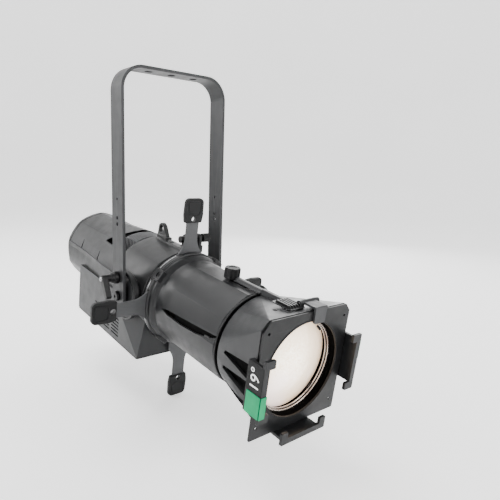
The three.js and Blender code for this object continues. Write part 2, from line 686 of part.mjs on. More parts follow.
// A ring behind the front lens with four fingers that hook over its rim.
function lensRetainer() {
  const back = ring(LENS_R - 5, APERTURE_R + 1, LENS_Y + 4 + GAP, LENS_Y + 9, 28);
  const fingers = [45, 135, 225, 315].map((angle) => {
    const leg = block(-6, 6, LENS_Y - 5.5, LENS_Y + 8, LENS_R - 1.7, LENS_R + 3);
    const hook = block(-5, 5, LENS_Y - 5.5, LENS_Y - 3.2, LENS_R - 7, LENS_R);
    return turnAboutY(leg.add(hook), angle);
  });
  return union([back, ...fingers]);
}
place(head, 'lens_retainer', lensRetainer(), PLASTIC);

// ---- accessory holder -----------------------------------------------------------------------
// A channel along one side of the square, drawn for the side at +X: a web, a front lip
// and two end lugs that reach over the colour frame.
function channel(outer) {
  const inward = outer - CHANNEL_OUT;
  const lip = CHANNEL_LIP + inward;
  const section = polygon([
    [outer, CHANNEL_BACK], [outer, CHANNEL_FRONT], [lip, CHANNEL_FRONT], [lip, CHANNEL_FRONT + 4],
    [outer - 4, CHANNEL_FRONT + 4], [outer - 4, PLATE_Y + FRAME_T / 2 + GAP + 1],
    [FLARE_HALF_W + 1, PLATE_Y + FRAME_T / 2 + GAP + 1], [FLARE_HALF_W + 1, CHANNEL_BACK],
  ]);
  const bar = slab('z', section, -CHANNEL_HALF, CHANNEL_HALF);
  const lugs = [-1, 1].map((s) => {
    const near = s * (LUG_HALF - LUG_W);
    const far = s * LUG_HALF;
    return block(LUG_REACH + inward, outer, CHANNEL_FRONT, CHANNEL_FRONT + 4,
      Math.min(near, far), Math.max(near, far));
  });
  return union([bar, ...lugs]);
}
const CHANNELS = [['right', 0, CHANNEL_OUT], ['bottom', 90, CHANNEL_OUT - 2], ['left', 180, CHANNEL_OUT]];
for (const [name, turn, outer] of CHANNELS) {
  place(head, `frame_channel_${name}`, turnAboutY(channel(outer), turn), DARK_PAINT);
}

function colourFrame() {
  const h = FRAME_SIDE / 2;
  const outline = polygon([[-h, -h], [h, -h], [h, h - 10], [h - 7, h], [-h + 7, h], [-h, h - 12]]);
  const holes = [[-1, 1], [1, 1], [-1, -1], [1, -1]].map(([a, b]) => (
    rod('y', 2, PLATE_Y - 5, PLATE_Y + 5, a * (h - 9), b * (h - 9), 3)));
  return cut(slab('y', outline, PLATE_Y - FRAME_T / 2, PLATE_Y + FRAME_T / 2),
    [rod('y', APERTURE_R, PLATE_Y - 5, PLATE_Y + 5, 0, 0, 10), ...holes]);
}
place(head, 'colour_frame', colourFrame(), DARK_PAINT);

function frameLatch() {
  const top = FLARE_HALF_W + GAP;
  const over = block(LATCH_X0, LATCH_X1, LATCH_FRONT - 3, LATCH_HINGE_Y, top + 2.4, top + 5.4);
  const lip = block(LATCH_X0, LATCH_X1, LATCH_FRONT - 3, LATCH_FRONT, 63, top + 4);
  const knuckle = rod('x', 3.6, LATCH_X0, LATCH_X1, LATCH_HINGE_Y, LATCH_HINGE_Z, 4);
  const pinBore = rod('x', 1.9, LATCH_X0 - 5, LATCH_X1 + 5, LATCH_HINGE_Y, LATCH_HINGE_Z, 4);
  return union([over, lip, knuckle]).subtract(pinBore);
}
place(head, 'frame_latch', frameLatch(), PAINT);
place(head, 'latch_pin',
  rod('x', 1.6, LATCH_X0 - 6, LATCH_X1 + 6, LATCH_HINGE_Y, LATCH_HINGE_Z, 4), STEEL);

for (const side of [-1, 1]) {
  const face = side * (CHANNEL_OUT + GAP);
  const outer = side * (CHANNEL_OUT + GAP + 1.2);
  const name = side < 0 ? 'left' : 'right';
  const sheet = block(Math.min(face, outer), Math.max(face, outer), CHANNEL_FRONT + 0.5, CHANNEL_BACK - 4,
    side < 0 ? -CHANNEL_HALF + 0.5 : 4, side < 0 ? -4 : CHANNEL_HALF - 0.5);
  place(head, `beam_angle_tag_${name}`, sheet, GREEN);
}

export default spotlight;
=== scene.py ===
"""Looks of an ellipsoidal spotlight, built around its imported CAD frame.

Pieces are drawn in millimetres. Head pieces use the head's own axes: the origin on the tilt pivot, +Y back
along the optical axis, +X to the right as seen from behind and +Z up. Yoke pieces use the row frame.
"""

import json
import math

import bmesh
import bpy
from mathutils import Matrix, Vector


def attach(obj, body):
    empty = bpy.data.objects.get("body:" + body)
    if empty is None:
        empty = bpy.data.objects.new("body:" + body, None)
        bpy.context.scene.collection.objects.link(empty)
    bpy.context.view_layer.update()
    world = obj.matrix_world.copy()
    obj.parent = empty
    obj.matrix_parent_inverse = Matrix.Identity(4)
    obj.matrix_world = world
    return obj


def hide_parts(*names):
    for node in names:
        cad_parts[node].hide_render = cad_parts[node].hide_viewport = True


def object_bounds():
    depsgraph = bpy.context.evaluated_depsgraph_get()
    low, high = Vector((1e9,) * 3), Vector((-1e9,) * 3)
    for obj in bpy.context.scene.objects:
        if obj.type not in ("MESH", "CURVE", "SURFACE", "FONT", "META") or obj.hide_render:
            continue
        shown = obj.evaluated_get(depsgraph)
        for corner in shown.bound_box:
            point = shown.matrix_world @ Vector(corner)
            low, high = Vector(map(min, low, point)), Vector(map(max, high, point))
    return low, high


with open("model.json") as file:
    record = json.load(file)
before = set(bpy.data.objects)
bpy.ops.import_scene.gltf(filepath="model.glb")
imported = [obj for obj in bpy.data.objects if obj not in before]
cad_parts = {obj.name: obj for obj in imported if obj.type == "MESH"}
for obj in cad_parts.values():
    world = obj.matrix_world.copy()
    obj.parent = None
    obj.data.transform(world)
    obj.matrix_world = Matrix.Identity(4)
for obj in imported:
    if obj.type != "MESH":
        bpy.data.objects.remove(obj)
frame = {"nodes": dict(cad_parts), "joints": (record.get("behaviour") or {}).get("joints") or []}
cad_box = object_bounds()

# ---- the frame's own measures -------------------------------------------------------------------
JOINTS = {joint["name"]: joint for joint in frame["joints"]}
PIVOT = Vector(JOINTS["tilt"]["pos_m"])
FORWARD = Vector(JOINTS["focus_slide"]["axis"])
REST_TILT = math.atan2(-FORWARD.z, -FORWARD.y)
ROW = Matrix.Scale(0.001, 4)
HEAD = Matrix.Translation(PIVOT) @ Matrix.Rotation(REST_TILT, 4, "X") @ ROW
GAP = 0.3


def box_in(place, node):
    """Lowest and highest corner of a CAD node, in the millimetres of that place."""
    back = place.inverted()
    points = [back @ v.co for v in frame["nodes"][node].data.vertices]
    low = Vector([min(p[i] for p in points) for i in range(3)])
    high = Vector([max(p[i] for p in points) for i in range(3)])
    return low, high


YOKE_LO, YOKE_HI = box_in(ROW, "yoke")
UPPER_LO, UPPER_HI = box_in(HEAD, "housing_upper")
LOWER_LO, LOWER_HI = box_in(HEAD, "housing_lower")
COVER_LO, COVER_HI = box_in(HEAD, "bottom_cover")
CAP_LO, CAP_HI = box_in(HEAD, "rear_cap")
RING_LO, RING_HI = box_in(HEAD, "shutter_housing_front")
BACK_RING_LO, BACK_RING_HI = box_in(HEAD, "shutter_housing_rear")
BARREL_LO, BARREL_HI = box_in(HEAD, "barrel")
TRIM_LO, TRIM_HI = box_in(HEAD, "barrel_trim_ring")
FLARE_LO = box_in(HEAD, "lens_tube")[0]
PLATE_LO, PLATE_HI = box_in(HEAD, "colour_frame")
CHANNEL_LO, CHANNEL_HI = box_in(HEAD, "frame_channel_right")
LATCH_LO, LATCH_HI = box_in(HEAD, "frame_latch")
LENS_LO, LENS_HI = box_in(HEAD, "front_lens")
KNOB_LO, KNOB_HI = box_in(HEAD, "focus_knob")
LOOP_LO, LOOP_HI = box_in(HEAD, "safety_loop")

SHELL_R = UPPER_HI.z
SHELL_FRONT = UPPER_LO.y
SHELL_REAR = UPPER_HI.y
SEAM_Z = (UPPER_LO.z + LOWER_HI.z) / 2
TAIL_R = CAP_HI.z
BAY_HALF = LOWER_HI.x
BAY_REAR = COVER_HI.y
BAY_FLOOR = LOWER_LO.z
BARREL_R = 72
TUBE_R = 66.5
RING_R = 80
LOCK_Z = JOINTS["tilt_lock_turn"]["pos_m"][2] * 1000
LATCH_PIN = HEAD.inverted() @ Vector(JOINTS["frame_latch_turn"]["pos_m"])


# ---- meshes in millimetres ----------------------------------------------------------------------
def mesh_of(points, faces):
    mesh = bpy.data.meshes.new("shape")
    mesh.from_pydata([tuple(p) for p in points], [], faces)
    made = bmesh.new()
    made.from_mesh(mesh)
    bmesh.ops.remove_doubles(made, verts=made.verts, dist=1e-4)
    bmesh.ops.recalc_face_normals(made, faces=made.faces)
    made.to_mesh(mesh)
    made.free()
    return mesh


AXIS_ORDER = {
    "x": lambda u, v, w: (w, u, v),
    "y": lambda u, v, w: (u, w, v),
    "z": lambda u, v, w: (u, v, w),
}


def prism(axis, outline, low, high):
    """An outline drawn across an axis, in (y, z), (x, z) or (x, y), and extruded along it."""
    order = AXIS_ORDER[axis]
    count = len(outline)
    points = [order(u, v, low) for u, v in outline] + [order(u, v, high) for u, v in outline]
    faces = [list(range(count)), list(range(count, 2 * count))]
    for i in range(count):
        j = (i + 1) % count
        faces.append([i, j, count + j, count + i])
    return mesh_of(points, faces)


def arc(u, v, radius, start, end, steps=12):
    """Points on an arc, with its angles in degrees."""
    angles = [math.radians(start + (end - start) * i / steps) for i in range(steps + 1)]
    return [(u + radius * math.cos(a), v + radius * math.sin(a)) for a in angles]


def circle(radius, u=0, v=0, steps=48):
    return arc(u, v, radius, 0, 360, steps)[:-1]


def rounded(points, radius=0, steps=5):
    """A closed outline with round corners. A point is (u, v) or (u, v, its own radius)."""
    outline = []
    for i, point in enumerate(points):
        corner = Vector(point[:2])
        wanted = point[2] if len(point) > 2 else radius
        before = Vector(points[i - 1][:2]) - corner
        after = Vector(points[(i + 1) % len(points)][:2]) - corner
        room = min(before.length, after.length) * 0.49
        before.normalize()
        after.normalize()
        half = before.angle(after) / 2
        if wanted <= 0 or half > math.radians(88):
            outline.append(tuple(corner))
            continue
        reach = min(wanted / math.tan(half), room)
        size = reach * math.tan(half)
        centre = corner + (before + after).normalized() * (size / math.sin(half))
        first = corner + before * reach - centre
        last = corner + after * reach - centre
        start = math.atan2(first.y, first.x)
        turn = math.atan2(first.cross(last), first.dot(last))
        for step in range(steps + 1):
            angle = start + turn * step / steps
            outline.append((centre.x + size * math.cos(angle), centre.y + size * math.sin(angle)))
    return outline


def rect(u0, u1, v0, v1, radius=0, steps=5):
    return rounded([(u0, v0), (u1, v0), (u1, v1), (u0, v1)], radius, steps)


def slab(axis, points, low, high, radius=0, steps=5):
    """A prism with round corners."""
    return prism(axis, rounded(points, radius, steps), low, high)


def cuboid(axis, u0, u1, v0, v1, low, high, radius=0, steps=5):
    return prism(axis, rect(u0, u1, v0, v1, radius, steps), low, high)


def lathe(profile, axis="y", segments=96, centre=(0, 0)):
    """A closed profile of (radius, place on the axis), turned about an axis."""
    order = AXIS_ORDER[axis]
    count = len(profile)
    points, faces = [], []
    for i in range(segments):
        angle = 2 * math.pi * i / segments
        for radius, along in profile:
            u = centre[0] + radius * math.cos(angle)
            v = centre[1] + radius * math.sin(angle)
            points.append(order(u, v, along))
    for i in range(segments):
        for k in range(count):
            m = (k + 1) % count
            j = (i + 1) % segments
            if profile[k][0] == 0 and profile[m][0] == 0:
                continue
            faces.append([i * count + k, i * count + m, j * count + m, j * count + k])
    return mesh_of(points, faces)


def ring(inner, outer, low, high, radius=0.6, axis="y", segments=96, centre=(0, 0)):
    return lathe(
        rounded([(inner, low), (outer, low), (outer, high), (inner, high)], radius, 4), axis, segments,
        centre)


def rod(axis, radius, low, high, u=0, v=0, edge=0, segments=40):
    profile = rounded([(0, low, 0), (radius, low, edge), (radius, high, edge), (0, high, 0)], 0, 4)
    return lathe(profile, axis, segments, (u, v))


def turned(mesh, degrees, axis="Y", about=(0, 0, 0)):
    centre = Matrix.Translation(about)
    mesh.transform(centre @ Matrix.Rotation(math.radians(degrees), 4, axis) @ centre.inverted())
    return mesh


def moved(mesh, x=0, y=0, z=0):
    mesh.transform(Matrix.Translation((x, y, z)))
    return mesh


# ---- modifiers applied on meshes ----------------------------------------------------------------
def through(mesh, kind, **settings):
    """The mesh after one modifier."""
    thing = bpy.data.objects.new("work", mesh)
    bpy.context.scene.collection.objects.link(thing)
    modifier = thing.modifiers.new("step", kind)
    for key, value in settings.items():
        setattr(modifier, key, value)
    graph = bpy.context.evaluated_depsgraph_get()
    made = bpy.data.meshes.new_from_object(thing.evaluated_get(graph))
    bpy.data.objects.remove(thing)
    bpy.data.meshes.remove(mesh)
    return made


def join_boolean(mesh, tool, operation):
    other = bpy.data.objects.new("tool", tool)
    bpy.context.scene.collection.objects.link(other)
    made = through(mesh, "BOOLEAN", operation=operation, solver="MANIFOLD", object=other)
    bpy.data.objects.remove(other)
    bpy.data.meshes.remove(tool)
    return made


def cut(mesh, *tools):
    for tool in tools:
        mesh = join_boolean(mesh, tool, "DIFFERENCE")
    return mesh


def union(mesh, *others):
    for other in others:
        mesh = join_boolean(mesh, other, "UNION")
    return mesh


def common(mesh, other):
    return join_boolean(mesh, other, "INTERSECT")


def fluted(knob, axis, count, radius, low, high, reach, u, v, segments, start=0):
    """A knob with finger flutes cut at even angles round it."""
    for i in range(count):
        angle = 2 * math.pi * (i + start) / count
        x, y = u + reach * math.cos(angle), v + reach * math.sin(angle)
        knob = cut(knob, rod(axis, radius, low, high, x, y, segments=segments))
    return knob


def softened(mesh, width=0.8, steps=3, angle=32):
    """Edges sharper than the angle become round."""
    return through(
        mesh, "BEVEL", width=width, segments=steps, limit_method="ANGLE", angle_limit=math.radians(angle),
        use_clamp_overlap=True, miter_outer="MITER_ARC")


def sliced(mesh, point, outward):
    """What is left of a solid behind a plane, closed where the plane cuts it."""
    made = bmesh.new()
    made.from_mesh(mesh)
    everything = made.verts[:] + made.edges[:] + made.faces[:]
    result = bmesh.ops.bisect_plane(
        made, geom=everything, plane_co=point, plane_no=outward, clear_outer=True)
    edges = [item for item in result["geom_cut"] if isinstance(item, bmesh.types.BMEdge)]
    bmesh.ops.contextual_create(made, geom=edges)
    bmesh.ops.recalc_face_normals(made, faces=made.faces)
    made.to_mesh(mesh)
    made.free()
    return mesh


def cast(mesh, voxel=0.7, rounds=4):
    """A moulded form: every edge and inner corner flows, as in a casting."""
    mesh = through(mesh, "REMESH", mode="VOXEL", voxel_size=voxel)
    return through(mesh, "SMOOTH", factor=0.5, iterations=rounds)


# ---- pieces -------------------------------------------------------------------------------------
def piece(name, mesh, body, material, replaces=(), place=HEAD, crease=34, slot=None):
    """One visible piece: its mesh goes from millimetres to the row frame, and rides on its body."""
    slot = slot or SLOT_OF[material]
    mesh.transform(place)
    mesh.polygons.foreach_set("use_smooth", [True] * len(mesh.polygons))
    mesh.set_sharp_from_angle(angle=math.radians(crease))
    mesh.materials.clear()
    mesh.materials.append(material)
    mesh.name = name
    thing = bpy.data.objects.new(name, mesh)
    bpy.context.scene.collection.objects.link(thing)
    normals = thing.modifiers.new("even_normals", "WEIGHTED_NORMAL")
    normals.keep_sharp = True
    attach(thing, body)
    if replaces:
        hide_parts(*replaces)
    return thing


# ---- materials ----------------------------------------------------------------------------------
class Recipe:
    """A small builder for node materials in object coordinates, in metres."""

    def __init__(self, name):
        self.material = bpy.data.materials.new(name)
        self.material.use_nodes = True
        self.nodes = self.material.node_tree.nodes
        self.links = self.material.node_tree.links
        self.shader = self.nodes["Principled BSDF"]
        self.place = self.nodes.new("ShaderNodeTexCoord").outputs["Object"]

    def set(self, **values):
        for key, value in values.items():
            self.shader.inputs[key.replace("_", " ")].default_value = value

    def noise(self, scale, detail=4, stretch=None):
        source = self.place
        if stretch:
            mapping = self.nodes.new("ShaderNodeMapping")
            mapping.inputs["Scale"].default_value = stretch
            self.links.new(source, mapping.inputs["Vector"])
            source = mapping.outputs["Vector"]
        node = self.nodes.new("ShaderNodeTexNoise")
        node.inputs["Scale"].default_value = scale
        node.inputs["Detail"].default_value = detail
        self.links.new(source, node.inputs["Vector"])
        return node.outputs["Fac"]

    def remap(self, value, low, high, start=0.3, end=0.7):
        node = self.nodes.new("ShaderNodeMapRange")
        for socket, number in zip(("From Min", "From Max", "To Min", "To Max"), (start, end, low, high)):
            node.inputs[socket].default_value = number
        self.links.new(value, node.inputs["Value"])
        return node.outputs["Result"]

    def blend(self, share, first, second):
        node = self.nodes.new("ShaderNodeMix")
        node.data_type = "RGBA"
        self.links.new(share, node.inputs["Factor"])
        for socket, colour in zip(("A", "B"), (first, second)):
            target = [s for s in node.inputs if s.name == socket and s.type == "RGBA"][0]
            if isinstance(colour, bpy.types.NodeSocket):
                self.links.new(colour, target)
            else:
                target.default_value = (*colour, 1)
        return [s for s in node.outputs if s.type == "RGBA"][0]

    def feed(self, socket, source):
        self.links.new(source, self.shader.inputs[socket])

    def mottle(self, scale, detail, first, second):
        """A colour that drifts between two tones."""
        self.feed("Base Color", self.blend(self.remap(self.noise(scale, detail), 0, 1), first, second))

    def sheen(self, scale, detail, low, high):
        """A roughness that drifts between two values."""
        self.feed("Roughness", self.remap(self.noise(scale, detail), low, high))

    def bump(self, height, distance, strength=1.0):
        node = self.nodes.new("ShaderNodeBump")
        node.inputs["Strength"].default_value = strength
        node.inputs["Distance"].default_value = distance
        self.links.new(height, node.inputs["Height"])
        self.links.new(node.outputs["Normal"], self.shader.inputs["Normal"])

    def edge_highlight_mask(self, low=0.53, high=0.6):
        """1 on convex edges, from the mesh's own pointiness: the mask of a painted edge highlight."""
        sharp = self.nodes.new("ShaderNodeNewGeometry").outputs["Pointiness"]
        return self.remap(sharp, 0, 1, low, high)


def shade(colour, factor):
    return tuple(min(1, c * factor) for c in colour)


def textured_paint(name, colour, roughness, grain=1500, depth=0.00004, edge_highlight=1.6, gloss=0.24):
    """Powder coat or painted casting: fine grain, cloudy tone and convex edges painted brighter as a
    highlight.
    """
    made = Recipe(name)
    clouds = made.remap(made.noise(9, 3), 0, 1)
    tone = made.blend(clouds, shade(colour, 0.86), shade(colour, 1.14))
    # Convex edges blend towards a lighter tone: a painted highlight where the bevels catch the light.
    edged = made.blend(made.edge_highlight_mask(), tone, shade(colour, edge_highlight))
    made.feed("Base Color", edged)
    made.sheen(60, 5, roughness - 0.06, roughness + 0.07)
    made.bump(made.noise(grain, 2), depth)
    made.set(Specular_IOR_Level=gloss)
    return made.material


def moulded(name, colour, roughness, grain=2200, depth=0.00003):
    """Moulded plastic with a fine spark-eroded grain."""
    made = Recipe(name)
    made.mottle(25, 3, shade(colour, 0.85), shade(colour, 1.2))
    made.sheen(140, 4, roughness - 0.07, roughness + 0.06)
    made.bump(made.noise(grain, 1), depth)
    made.set(Specular_IOR_Level=0.2)
    return made.material


def brushed(name, colour, roughness, metal=1.0, stretch=(1, 1, 40)):
    made = Recipe(name)
    lines = made.noise(60, 6, stretch)
    made.set(Metallic=metal)
    made.feed("Base Color", made.blend(made.remap(lines, 0, 1), shade(colour, 0.82), shade(colour, 1.12)))
    made.feed("Roughness", made.remap(lines, roughness - 0.08, roughness + 0.1))
    made.bump(lines, 0.00002, 0.6)
    return made.material


STRAP_PAINT = textured_paint("strap_paint", (0.020, 0.0205, 0.0215), 0.44)
HOUSING_PAINT = textured_paint("housing_paint", (0.010, 0.0103, 0.0109), 0.36)
DARK_PAINT = textured_paint("dark_paint", (0.004, 0.0042, 0.0046), 0.42, edge_highlight=1.8)
# A near-black, dull copy of the dark paint: painted shade inside the lens tube, behind the shutter rim and
# between the fins.
PAINTED_SHADE_BLACK = textured_paint("painted_shade_black", (0.001, 0.001, 0.001), 0.8, edge_highlight=1.2, gloss=0.06)
BLACK_PLASTIC = moulded("black_plastic", (0.0035, 0.0035, 0.0037), 0.38)
GREY_PLASTIC = moulded("grip_plastic", (0.005, 0.0052, 0.0055), 0.46)
BLADE_STEEL = brushed("blade_steel", (0.052, 0.053, 0.055), 0.42, 0.3)
STEEL = brushed("steel", (0.45, 0.45, 0.46), 0.3)
SINK = brushed("sink_aluminium", (0.14, 0.142, 0.146), 0.5, 0.2)
GREEN = moulded("green_plastic", (0.0, 0.24, 0.095), 0.7)
SHEET_BLACK = moulded("sheet_black", (0.002, 0.002, 0.0021), 0.5, depth=0.00001)
WHITE_INK = moulded("white_ink", (0.85, 0.86, 0.86), 0.5)


def circuit_material():
    made = Recipe("circuit_board")
    tracks = made.remap(made.noise(400, 1), 0, 1, 0.48, 0.52)
    made.feed("Base Color", made.blend(tracks, (0.01, 0.07, 0.03), (0.02, 0.12, 0.05)))
    made.sheen(200, 2, 0.3, 0.5)
    made.bump(tracks, 0.00003)
    return made.material


def screen_material():
    made = Recipe("display_glass")
    made.mottle(40, 2, (0.01, 0.014, 0.018), (0.02, 0.028, 0.034))
    made.sheen(90, 3, 0.08, 0.16)
    made.set(Coat_Weight=0.6)
    return made.material


def lens_material():
    """Lit glass: warm white, brightest in the middle, with the fine mottling of its diffusing facets."""
    made = Recipe("lens_glass")
    centre = HEAD @ Vector((-12, LENS_LO.y, 6))
    away = made.nodes.new("ShaderNodeVectorMath")
    away.operation = "DISTANCE"
    away.inputs[1].default_value = centre
    made.links.new(made.place, away.inputs[0])
    spread = made.remap(away.outputs["Value"], 0, 1, 0.012, 0.072)
    warm = made.blend(spread, (1.0, 0.92, 0.78), (0.72, 0.50, 0.33))
    fine = made.remap(made.noise(420, 3), 0, 1, 0.40, 0.62)
    speckled = made.blend(fine, (0.80, 0.64, 0.47), warm)
    lilac = made.remap(made.noise(11, 2), 0, 0.4, 0.5, 0.66)
    glow = made.blend(lilac, speckled, (0.92, 0.80, 0.86))
    made.feed("Base Color", glow)
    made.feed("Emission Color", glow)
    made.feed("Emission Strength", made.remap(spread, 3.1, 1.05, 0.0, 1.0))
    made.sheen(60, 2, 0.04, 0.1)
    made.set(Coat_Weight=0.5)
    return made.material


def bezel_material():
    made = Recipe("lit_bezel")
    lines = made.noise(30, 4)
    made.feed("Base Color", made.blend(made.remap(lines, 0, 1), (0.50, 0.42, 0.38), (0.82, 0.76, 0.70)))
    made.feed("Roughness", made.remap(lines, 0.16, 0.34))
    made.set(Metallic=0.9)
    return made.material


def clear_material():
    made = Recipe("clear_glass")
    made.mottle(20, 2, (0.86, 0.9, 0.9), (0.95, 0.97, 0.97))
    made.sheen(80, 2, 0.03, 0.09)
    made.set(Transmission_Weight=0.8, IOR=1.5)
    return made.material


CIRCUIT = circuit_material()
SCREEN = screen_material()
LENS = lens_material()
BEZEL = bezel_material()
CLEAR = clear_material()

# The record's slot of each material, where a piece doesn't name another.
SLOT_OF = {
    STRAP_PAINT: "strap_paint", HOUSING_PAINT: "housing_paint", DARK_PAINT: "dark_paint",
    PAINTED_SHADE_BLACK: "dark_paint", BLACK_PLASTIC: "black_plastic", GREY_PLASTIC: "black_plastic",
    BLADE_STEEL: "blade_steel", STEEL: "steel", SINK: "sink_aluminium", GREEN: "green_plastic",
    SHEET_BLACK: "black_plastic", WHITE_INK: "green_plastic", SCREEN: "display_glass",
    LENS: "lens_glass", BEZEL: "steel",
}


# ---- camera, light and floor --------------------------------------------------------------------
WORLD_STRENGTH = 0.8
FLOOR_GLOW = 0.6


def make_camera():
    """Seen from the lens side, below the yoke's bar, a little from the left."""
    azimuth, elevation, roll = (math.radians(a) for a in (-39.462, 8.946, 1.437))
    flat = math.cos(elevation)
    back = Vector((math.sin(azimuth) * flat, -math.cos(azimuth) * flat, math.sin(elevation)))
    level = Vector((math.cos(azimuth), math.sin(azimuth), 0))
    upright = level.cross(-back)
    right = math.cos(roll) * level + math.sin(roll) * upright
    up = math.cos(roll) * upright - math.sin(roll) * level
    camera = bpy.data.objects.new("camera", bpy.data.cameras.new("camera"))
    camera.data.lens = 34.82
    camera.data.shift_x = 0.04
    turn = Matrix((right, up, back)).transposed().to_4x4()
    camera.matrix_world = Matrix.Translation((-0.4492, -0.7094, -0.1627)) @ turn
    bpy.context.scene.collection.objects.link(camera)
    bpy.context.scene.camera = camera


def make_light(name, place, aim, size, power, colour=(1, 1, 1)):
    data = bpy.data.lights.new(name, "AREA")
    data.shape = "RECTANGLE"
    data.size, data.size_y = size
    data.energy = power
    data.color = colour
    light = bpy.data.objects.new(name, data)
    light.location = place
    light.rotation_mode = "QUATERNION"
    light.rotation_quaternion = (Vector(aim) - Vector(place)).to_track_quat("-Z", "Y")
    bpy.context.scene.collection.objects.link(light)


def make_stage():
    """A pale round floor that curves up into a backdrop far away on every side."""
    floor_z = cad_box[0].z - 0.001
    flat, bend = 6, 4
    profile = [(0, floor_z), *arc(flat, floor_z + bend, bend, 270, 360, 24), (flat + bend, floor_z + 10)]
    segments = 96
    points = [(0, 0, floor_z)]
    for i in range(segments):
        angle = 2 * math.pi * i / segments
        points += [(r * math.cos(angle), r * math.sin(angle), z) for r, z in profile[1:]]
    count = len(profile) - 1
    faces = []
    for i in range(segments):
        here, there = 1 + i * count, 1 + (i + 1) % segments * count
        faces.append([0, here, there])
        faces += [[here + k, here + k + 1, there + k + 1, there + k] for k in range(count - 1)]
    floor = bpy.data.objects.new("floor", bpy.data.meshes.new("floor"))
    floor.data.from_pydata(points, [], faces)
    floor.data.polygons.foreach_set("use_smooth", [True] * len(floor.data.polygons))
    made = Recipe("floor_white")
    made.mottle(0.8, 2, (0.86, 0.86, 0.86), (0.90, 0.90, 0.90))
    made.set(Roughness=0.8, Emission_Color=(1, 1, 1, 1), Emission_Strength=FLOOR_GLOW)
    floor.data.materials.append(made.material)
    bpy.context.scene.collection.objects.link(floor)
    world = bpy.data.worlds.new("studio")
    world.use_nodes = True
    world.node_tree.nodes["Background"].inputs["Color"].default_value = (1, 1, 1, 1)
    world.node_tree.nodes["Background"].inputs["Strength"].default_value = WORLD_STRENGTH
    bpy.context.scene.world = world


make_camera()
make_light("overhead", (-0.3, 0.9, 2.3), (0, 0.1, -0.3), (1.6, 1.6), 70)
make_light("front", (0.7, -2.3, 0.5), (0, 0, -0.35), (0.8, 1.2), 24)
make_light("left", (-1.5, 1.9, 0.9), (0, 0.25, -0.35), (0.5, 1.2), 26)
make_light("rim", (1.5, 0.9, 0.6), (0, 0, -0.3), (0.6, 1.6), 22)
make_stage()


# ---- yoke and tilt lock -------------------------------------------------------------------------
def make_yoke():
    half = YOKE_HI.x
    strap_t = 5
    inner = half - strap_t
    bend = 38
    foot = YOKE_LO.z
    pivot_z = PIVOT.z * 1000
    end_r = YOKE_HI.y
    outline = [
        (half, foot), *arc(half - bend, -bend, bend, 0, 90, 18),
        *arc(bend - half, -bend, bend, 90, 180, 18), (-half, foot), (-inner, foot),
        *arc(bend - half, -bend, bend - strap_t, 180, 90, 18),
        *arc(half - bend, -bend, bend - strap_t, 90, 0, 18), (inner, foot)]
    strap = prism("y", outline, -end_r, end_r)
    side = [(end_r, 1), (-end_r, 1), *arc(0, pivot_z, end_r, 180, 360, 24)]
    strap = common(strap, prism("x", side, -half - 1, half + 1))
    strap = cut(strap, rod("z", 6.5, -8, 2))
    for x in (-43, 43):
        strap = cut(strap, cuboid("z", x - 7, x + 7, -5, 5, -8, 2, 4.9, 8))
    for radius, rise in ((3.5, 87), (3, 97), (2.2, 127)):
        strap = cut(strap, rod("x", radius, -half - 1, half + 1, 0, LOCK_Z + rise, segments=28))
    strap = cut(strap, rod("x", 5.4, -half - 1, half + 1, 0, pivot_z, segments=28))
    strap = cut(strap, rod("x", 4.4, -half - 1, -inner + 1, 0, LOCK_Z, segments=28))
    piece("yoke_strap", softened(strap, 0.9, 3, 40), "yoke", STRAP_PAINT, ["yoke"], ROW)


def make_tilt_lever():
    """A cast lever: a hub on the leg, a stem outward and an arm that hangs down and forward."""
    face = -YOKE_HI.x - GAP
    lean = 28
    arm = slab("x", [(-6.5, 5.5), (6.5, 5.5), (4.6, -34), (-4.6, -34)], face - 28.5, face - 19.5, 4.4, 6)
    arm = moved(turned(arm, -lean, "X"), z=LOCK_Z)
    stem = rod("x", 6.2, face - 28.5, face - 4, 0, LOCK_Z, 2.5)
    hub = rod("x", 10.2, face - 8.6, face - 0.2, 0, LOCK_Z, 1.4)
    collar = rod("x", 8.2, face - 13, face - 7, 0, LOCK_Z, 1.5)
    shape = cast(union(arm, stem, hub, collar), 0.65, 3)
    piece("tilt_lock_lever", shape, "tilt_lock", BLACK_PLASTIC, ["tilt_lever"], ROW)
    face_screw = cut(
        rod("x", 3.4, face - 30, face - 27.6, 0, LOCK_Z, 0.5),
        prism("x", circle(1.7, 0, LOCK_Z, 6), face - 31, face - 28.8))
    piece("tilt_lever_screw", face_screw, "tilt_lock", STEEL, (), ROW)


